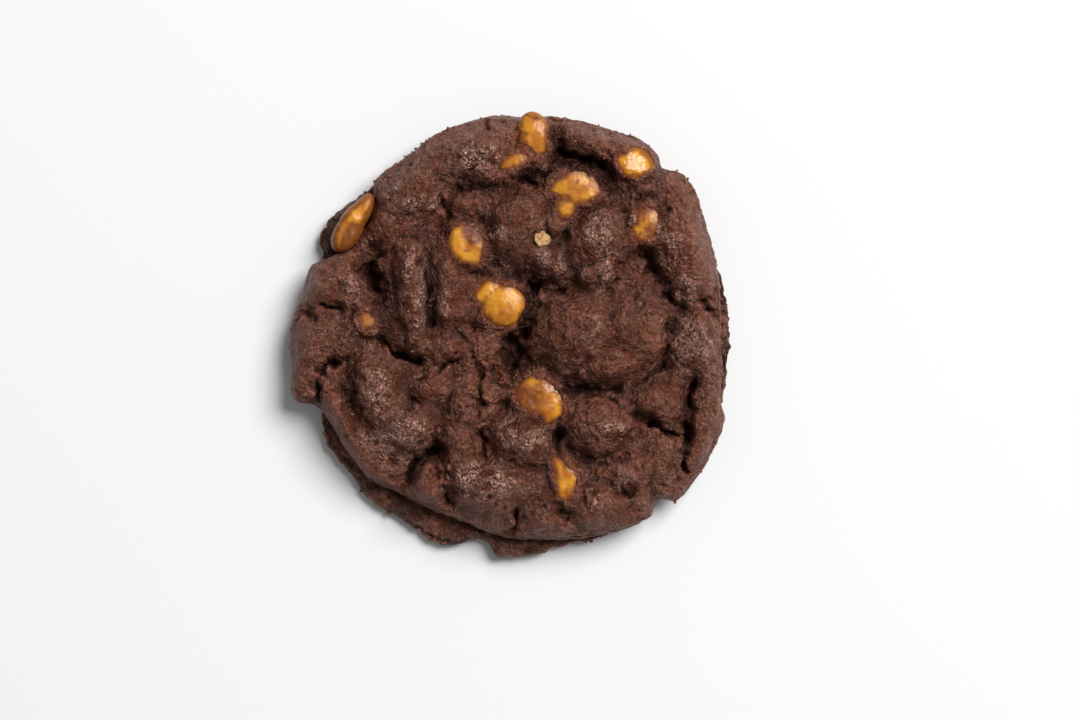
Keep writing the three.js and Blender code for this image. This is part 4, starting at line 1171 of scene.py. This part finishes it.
def fine_crust(tree, plates, grains, share):
    """The fine crust's outputs: plates and grains to the metre, and the share of grains that glint."""
    usual = {"Plates": 900.0, "Grains": 2200.0, "Share": 0.3}
    group = effect("Fine crust", usual, ["Height", "Cracks", "Glints"], build_crust)
    inputs = {"Plates": plates, "Grains": grains, "Share": share}
    return add_node(tree, "ShaderNodeGroup", inputs, node_tree=group).outputs


def start_material(name):
    """A new material, its nodes and its surface shader."""
    material = bpy.data.materials.new(name)
    material.use_nodes = True
    return material, material.node_tree, material.node_tree.nodes["Principled BSDF"]


def raise_bumps(tree, shader, height, distance, strength):
    """Shades the surface as if raised by a height times a distance in metres."""
    inputs = {"Height": height, "Distance": distance, "Strength": strength}
    bump = add_node(tree, "ShaderNodeBump", inputs)
    tree.links.new(bump.outputs["Normal"], shader.inputs["Normal"])


def dough_material(settings):
    """Baked chocolate dough: dark red brown, mottled finely, warmer where dry, with painted shade that makes
    creases, hollows and valleys nearly black, painted light on the crowns and on the tops of small bumps, and
    small grains and cracked plates with painted sheen and painted glints in the greasy patches."""
    material, tree, shader = start_material("Baked chocolate dough")
    names = ("dry", "ridge", "hollow", "deep", "moist_and_shade", "greasy", "stained", "crown", "valley")
    masks = {name: mask_of(tree, name) for name in names}
    crust = fine_crust(tree, 750.0, 1600.0, 0.4)
    broad = patches(tree, 0.013, 3, 0.38, 0.62)
    middle = patches(tree, 0.0026, 3, 0.38, 0.64)
    fine = patches(tree, 0.0008, 5, 0.42, 0.62)
    greasy = times(tree, scaled(tree, masks["greasy"], 0.87, 0.13), patches(tree, 0.0032, 4, 0.36, 0.56))

    # Painted sheen and painted glints in the greasy patches.
    sheen = times(tree, scaled(tree, fine, -0.42, 0.5), greasy)
    glints = times(tree, scaled(tree, greasy, 0.95, 0.07), crust["Glints"])
    # Painted shade: hollows, deep places, moist patches with the foot's painted shadow, and valleys are
    # darkened.
    sunk = strongest(tree, times(tree, masks["hollow"], 0.66), times(tree, masks["deep"], 0.9),
                     times(tree, masks["moist_and_shade"], 0.93))
    sunk = calculated(tree, "MINIMUM", scaled(tree, masks["valley"], 0.15, sunk), 0.95)
    cracks = times(tree, crust["Cracks"], times(tree, greasy, 0.8))
    # Each layer's mask, its strength and its colour, from the lowest up.
    colour = layered(tree, settings.brown, (
        (broad, 1.0, settings.purple_brown),
        (masks["dry"], 0.7, settings.dry_and_lit_brown),
        # Painted highlight on the tops of small bumps.
        (masks["ridge"], 0.6, settings.painted_highlight_brown),
        (middle, 0.35, settings.dark),
        # Painted light on the crowns of lumps.
        (masks["crown"], 0.3, settings.dry_and_lit_brown),
        (fine, 0.36, settings.dark),
        (strongest(tree, sheen, glints), 1.0, settings.painted_sheen),
        (times(tree, masks["stained"], middle), 0.6, settings.stain),
        (strongest(tree, sunk, cracks), 1.0, settings.dark),
    ))

    shine = strongest(tree, greasy, masks["moist_and_shade"], times(tree, masks["stained"], 0.8))
    rough = scaled(tree, masks["dry"], 0.2, scaled(tree, shine, -0.17, 0.3))
    feed(tree, shader, {"Base Color": colour, "Roughness": rough, "Specular Tint": settings.dough_tint,
                        "Specular IOR Level": settings.dough_specular})
    coarse = times(tree, crust["Height"], scaled(tree, masks["greasy"], 0.6, 0.6))
    raise_bumps(tree, shader, coarse, 0.0005, 1.0)
    return material


def chip_material(settings):
    """Melted caramel, glossy, with thin films of dough and reddish specks, darker near the dough as soaked
    caramel and with painted shade.
    """
    name = "Melted caramel"
    if name in bpy.data.materials:
        return bpy.data.materials[name]
    material, tree, shader = start_material(name)
    patchy = patches(tree, 0.0035, 3, 0.4, 0.62)
    specks = times(tree, patches(tree, 0.0013, 3, 0.66, 0.74), 0.6)
    ragged = scaled(tree, patches(tree, 0.0012, 4, 0.3, 0.6), 0.5, 0.5)
    covered = strongest(tree, times(tree, mask_of(tree, "film"), ragged), specks)
    colour = layered(tree, settings.caramel, (
        (patchy, 1.0, settings.deep_caramel),
        (mask_of(tree, "edge"), 0.8, settings.soaked_and_shaded_caramel),
        (covered, 1.0, settings.smear),
    ))

    rough = scaled(tree, mask_of(tree, "glossy"), -0.2, 0.34)
    rough = scaled(tree, covered, 0.12, scaled(tree, patchy, 0.1, rough))
    feed(tree, shader, {"Base Color": colour, "Roughness": rough, "Specular Tint": settings.chip_tint,
                        "Specular IOR Level": settings.chip_specular, "Subsurface Weight": 0.2,
                        "Subsurface Scale": 0.0015, "Subsurface Radius": (1.0, 0.45, 0.12)})
    dimples = add_node(tree, "ShaderNodeTexNoise",
                       {"Vector": object_place(tree), "Scale": 900, "Detail": 3, "Roughness": 0.5})
    raise_bumps(tree, shader, dimples.outputs["Fac"], 0.0002, 0.6)
    return material


def flake_material(settings):
    """A pale baked flake, blotched darker."""
    material, tree, shader = start_material("Pale flake")
    blotches = patches(tree, 0.0009, 3, 0.45, 0.62)
    colour = layered(tree, settings.flake_colour, ((blotches, 0.7, settings.flake_spots),))
    feed(tree, shader, {"Base Color": colour, "Roughness": 0.5})
    raise_bumps(tree, shader, patches(tree, 0.0004, 3, 0.35, 0.65), 0.0002, 0.8)
    return material


def crumb_material(settings):
    """Crumbs from dark to reddish brown, each of its own tone, with painted glints on some spots."""
    material, tree, shader = start_material("Chocolate crumbs")
    tone = mask_of(tree, "tone")
    spots = patches(tree, 0.0004, 3, 0.5, 0.6)
    glints = times(tree, calculated(tree, "POWER", tone, 3.0), spots)
    colour = mixed(tree, tone, settings.crumb_dark, settings.crumb_light)
    colour = mixed(tree, glints, colour, settings.crumb_glint)
    feed(tree, shader, {"Base Color": colour, "Roughness": 0.4, "Specular Tint": (1, 0.75, 0.65, 1)})
    raise_bumps(tree, shader, spots, 0.0002, 0.8)
    return material


def table_material(settings):
    """A pale matt table, very faintly uneven."""
    material, tree, shader = start_material("Pale table")
    faint = patches(tree, 0.3, 2, 0.2, 0.8)
    colour = mixed(tree, faint, settings.table_colour, (0.81, 0.81, 0.81, 1))
    feed(tree, shader, {"Base Color": colour, "Roughness": 0.9, "Specular IOR Level": 0.1})
    return material


# ---- Stage ----


def disc_light(name, place, size, power):
    """A round light at a place, aimed at the middle of the table."""
    light = bpy.data.lights.new(name, "AREA")
    light.shape = "DISK"
    light.size, light.energy = size, power
    holder = bpy.data.objects.new(name, light)
    holder.location = place
    holder.rotation_euler = (-place).to_track_quat("-Z", "Y").to_euler()
    bpy.context.collection.objects.link(holder)
    return holder


def make_stage(settings):
    """A square table, one round light in a pale surrounding, and a camera that looks straight down."""
    half = settings.table_size / 2
    corners = [(-half, -half, 0), (half, -half, 0), (half, half, 0), (-half, half, 0)]
    mesh = bpy.data.meshes.new("pale_table")
    mesh.from_pydata(corners, [], [(0, 1, 2, 3)])
    mesh.materials.append(table_material(settings))
    table = bpy.data.objects.new("pale_table", mesh)
    bpy.context.collection.objects.link(table)

    turn, rise = math.radians(settings.key_turn), math.radians(settings.key_rise)
    aside = math.cos(rise)
    direction = Vector((aside * math.cos(turn), aside * math.sin(turn), math.sin(rise)))
    disc_light("key_light", settings.key_distance * direction, settings.key_size, settings.key_power)
    world = bpy.data.worlds.new("Soft studio")
    world.use_nodes = True
    sky = {"Color": (1, 1, 1, 1), "Strength": settings.sky_strength}
    feed(world.node_tree, world.node_tree.nodes["Background"], sky)
    scene = bpy.context.scene
    scene.world = world
    scene.view_settings.view_transform = "Standard"

    camera = bpy.data.cameras.new("top_camera")
    camera.sensor_width, camera.lens = 36, settings.lens
    holder = bpy.data.objects.new("top_camera", camera)
    distance = settings.view_width * settings.lens / camera.sensor_width
    holder.location = (settings.view_x, settings.view_y, distance + FOOT_HEIGHT * MM)
    bpy.context.collection.objects.link(holder)
    scene.camera = holder


# ---- Add-on ----


def number(name, description, default, **more):
    """A plain number that a user may change."""
    return bpy.props.FloatProperty(name=name, description=description, default=default, **more)


def length(name, description, default, low=0.0):
    """A length in metres."""
    return number(name, description, default, min=low, unit="LENGTH", precision=4)


def gloss(description, default):
    """How strongly a surface reflects light, from 0 to 1."""
    return number("Specular", description, default, min=0, max=1, subtype="FACTOR")


def colour(name, description, default):
    """A colour, which is always opaque."""
    return bpy.props.FloatVectorProperty(name=name, description=description, default=(*default, 1), size=4,
                                         min=0, max=1, subtype="COLOR")


class CookieDoughSettings(bpy.types.PropertyGroup):
    """Sizes and colours of the dough."""

    hollow_height: length("Hollow height", "Height of the dough between the lumps", 0.01)
    hollow_fall: length("Hollow fall", "How much lower the hollows lie at the rim", 0.0025)
    lump_blend: length("Lump blend", "How softly neighbouring lumps flow together", 0.0008, 0.0001)
    crack_depth: length("Crack depth", "Depth of the cracks between lumps", 0.0009)
    brown: colour("Brown", "Colour of the crust", (0.098, 0.0198, 0.007))
    purple_brown: colour("Purple brown", "Colour of smoother crust", (0.063, 0.0138, 0.0065))
    # Also the painted light on the crowns of lumps.
    dry_and_lit_brown: colour("Dry brown", "Colour where the crust is dry", (0.175, 0.047, 0.018))
    # Painted highlight on the tops of small bumps.
    painted_highlight_brown: colour("Pale brown", "Colour of the tops of small bumps", (0.24, 0.082, 0.048))
    # Painted sheen and painted glints of the greasy patches.
    painted_sheen: colour("Bloom", "Colour of the greasy specks", (0.95, 0.53, 0.41))
    stain: colour("Stain", "Colour of dough soaked with caramel", (0.17, 0.035, 0.012))
    # Also the painted shade in creases, hollows and valleys and under the upper layer.
    dark: colour("Dark", "Colour in creases and of moist dough", (0.015, 0.0034, 0.0015))
    dough_tint: colour("Gloss tint", "Tint of the dough's gloss", (1, 0.62, 0.52))
    dough_specular: gloss("How strongly the dough reflects light", 0.52)


class CookieChipSettings(bpy.types.PropertyGroup):
    """Colours of the chips."""

    caramel: colour("Caramel", "Colour of the clean caramel", (0.6, 0.255, 0.02))
    deep_caramel: colour("Deep caramel", "Colour where the caramel is thick", (0.42, 0.135, 0.012))
    # Soaked caramel and painted shade near the dough.
    soaked_and_shaded_caramel: colour("Dull caramel", "Colour near the dough", (0.15, 0.036, 0.008))
    smear: colour("Smear", "Colour of dough smeared thinly over a chip", (0.13, 0.024, 0.009))
    chip_tint: colour("Gloss tint", "Tint of the caramel's gloss", (1, 0.92, 0.82))
    chip_specular: gloss("How strongly the caramel reflects light", 0.42)


class CookieFlakeSettings(bpy.types.PropertyGroup):
    """Size and colours of the pale flake."""

    flake_length: length("Flake length", "Length of the flake", 0.0034, 0.001)
    flake_width: length("Flake width", "Width of the flake", 0.003, 0.001)
    flake_thickness: length("Flake thickness", "Thickness of the flake", 0.00035, 0.0001)
    flake_colour: colour("Flake", "Colour of the flake", (0.56, 0.33, 0.13))
    flake_spots: colour("Spots", "Colour of the spots on it", (0.22, 0.08, 0.03))


class CookieCrumbSettings(bpy.types.PropertyGroup):
    """Number, sizes and colours of the loose crumbs."""

    crumbs: bpy.props.IntProperty(name="Crumbs", description="Number of crumbs", default=900, min=1, max=9000)
    seed: bpy.props.IntProperty(name="Seed", description="Another number strews them otherwise", default=7)
    smallest: length("Smallest", "Size of the smallest crumbs", 0.0002, 0.0001)
    largest: length("Largest", "Size of the largest crumbs", 0.0009, 0.0001)
    crumb_dark: colour("Dark", "Colour of the darkest crumbs", (0.05, 0.013, 0.007))
    crumb_light: colour("Light", "Colour of the lightest crumbs", (0.24, 0.075, 0.033))
    crumb_glint: colour("Glint", "Colour of their glinting spots", (0.5, 0.28, 0.2))


class CookieStageSettings(bpy.types.PropertyGroup):
    """Table, light and camera."""

    table_size: length("Table size", "Side of the square table", 6.0)
    table_colour: colour("Table colour", "Colour of the table", (0.8, 0.8, 0.8))
    key_turn: number("Key turn", "Main light's direction, in degrees from x", 42)
    key_rise: number("Key rise", "Main light's height, in degrees", 50)
    key_distance: length("Key distance", "How far away the main light is", 2.4)
    key_size: length("Key size", "Diameter of the main light", 1.5)
    key_power: number("Key power", "Power of the main light", 78, subtype="POWER")
    sky_strength: number("Sky strength", "Brightness all around", 0.24)
    lens: number("Lens", "Focal length in millimetres", 100)
    view_width: length("View width", "Width of the table that the camera sees", 0.2279)
    view_x: number("View x", "Camera's place to the right", 0.0063, unit="LENGTH")
    view_y: number("View y", "Camera's place away", -0.005, unit="LENGTH")


class COOKIE_OT_dough(bpy.types.Operator):
    """Makes the dough with its lumps, creases and layered rim"""

    bl_idname = "cookie.dough"
    bl_label = "Bake Dough"

    def execute(self, context):
        make_dough(context.scene.cookie_dough)
        return {"FINISHED"}


class COOKIE_OT_chips(bpy.types.Operator):
    """Sets the caramel chips into the dough"""

    bl_idname = "cookie.chips"
    bl_label = "Set Chips"

    def execute(self, context):
        for name, chip in CHIPS.items():
            make_chip(name, chip, context.scene.cookie_chips)
        return {"FINISHED"}


class COOKIE_OT_flake(bpy.types.Operator):
    """Lays the pale flake on the dough"""

    bl_idname = "cookie.flake"
    bl_label = "Lay Flake"

    def execute(self, context):
        make_flake(context.scene.cookie_flake)
        return {"FINISHED"}


class COOKIE_OT_crumbs(bpy.types.Operator):
    """Strews crumbs over the dough, which is made first"""

    bl_idname = "cookie.crumbs"
    bl_label = "Strew Crumbs"

    def execute(self, context):
        if "cookie_dough" not in bpy.data.objects:
            raise RuntimeError("the dough is made before its crumbs")
        make_crumbs(context.scene.cookie_crumbs)
        return {"FINISHED"}


class COOKIE_OT_stage(bpy.types.Operator):
    """Makes the table, the lights and the camera"""

    bl_idname = "cookie.stage"
    bl_label = "Set Up Table and Light"

    def execute(self, context):
        make_stage(context.scene.cookie_stage)
        return {"FINISHED"}


class COOKIE_PT_panel(bpy.types.Panel):
    """The cookie's pieces, in the order they are made"""

    bl_idname = "COOKIE_PT_panel"
    bl_label = "Chocolate Cookie"
    bl_space_type = "VIEW_3D"
    bl_region_type = "UI"
    bl_category = "Cookie"

    def draw(self, context):
        for settings, operator in SECTIONS:
            group = getattr(context.scene, settings)
            box = self.layout.box()
            for name in group.bl_rna.properties.keys():
                if name not in ("rna_type", "name"):
                    box.prop(group, name)
            box.operator(operator.bl_idname)


SECTIONS = (
    ("cookie_dough", COOKIE_OT_dough),
    ("cookie_chips", COOKIE_OT_chips),
    ("cookie_flake", COOKIE_OT_flake),
    ("cookie_crumbs", COOKIE_OT_crumbs),
    ("cookie_stage", COOKIE_OT_stage),
)
GROUPS = {
    "cookie_dough": CookieDoughSettings,
    "cookie_chips": CookieChipSettings,
    "cookie_flake": CookieFlakeSettings,
    "cookie_crumbs": CookieCrumbSettings,
    "cookie_stage": CookieStageSettings,
}
CLASSES = (*GROUPS.values(), *(operator for _, operator in SECTIONS), COOKIE_PT_panel)


def register():
    for made in CLASSES:
        bpy.utils.register_class(made)
    for name, group in GROUPS.items():
        setattr(bpy.types.Scene, name, bpy.props.PointerProperty(type=group))


def unregister():
    for name in GROUPS:
        delattr(bpy.types.Scene, name)
    for made in reversed(CLASSES):
        bpy.utils.unregister_class(made)


def main():
    """Makes the whole cookie and its stage."""
    register()
    bpy.ops.cookie.dough()
    bpy.ops.cookie.chips()
    bpy.ops.cookie.flake()
    bpy.ops.cookie.crumbs()
    bpy.ops.cookie.stage()


if __name__ == "__main__":
    main()
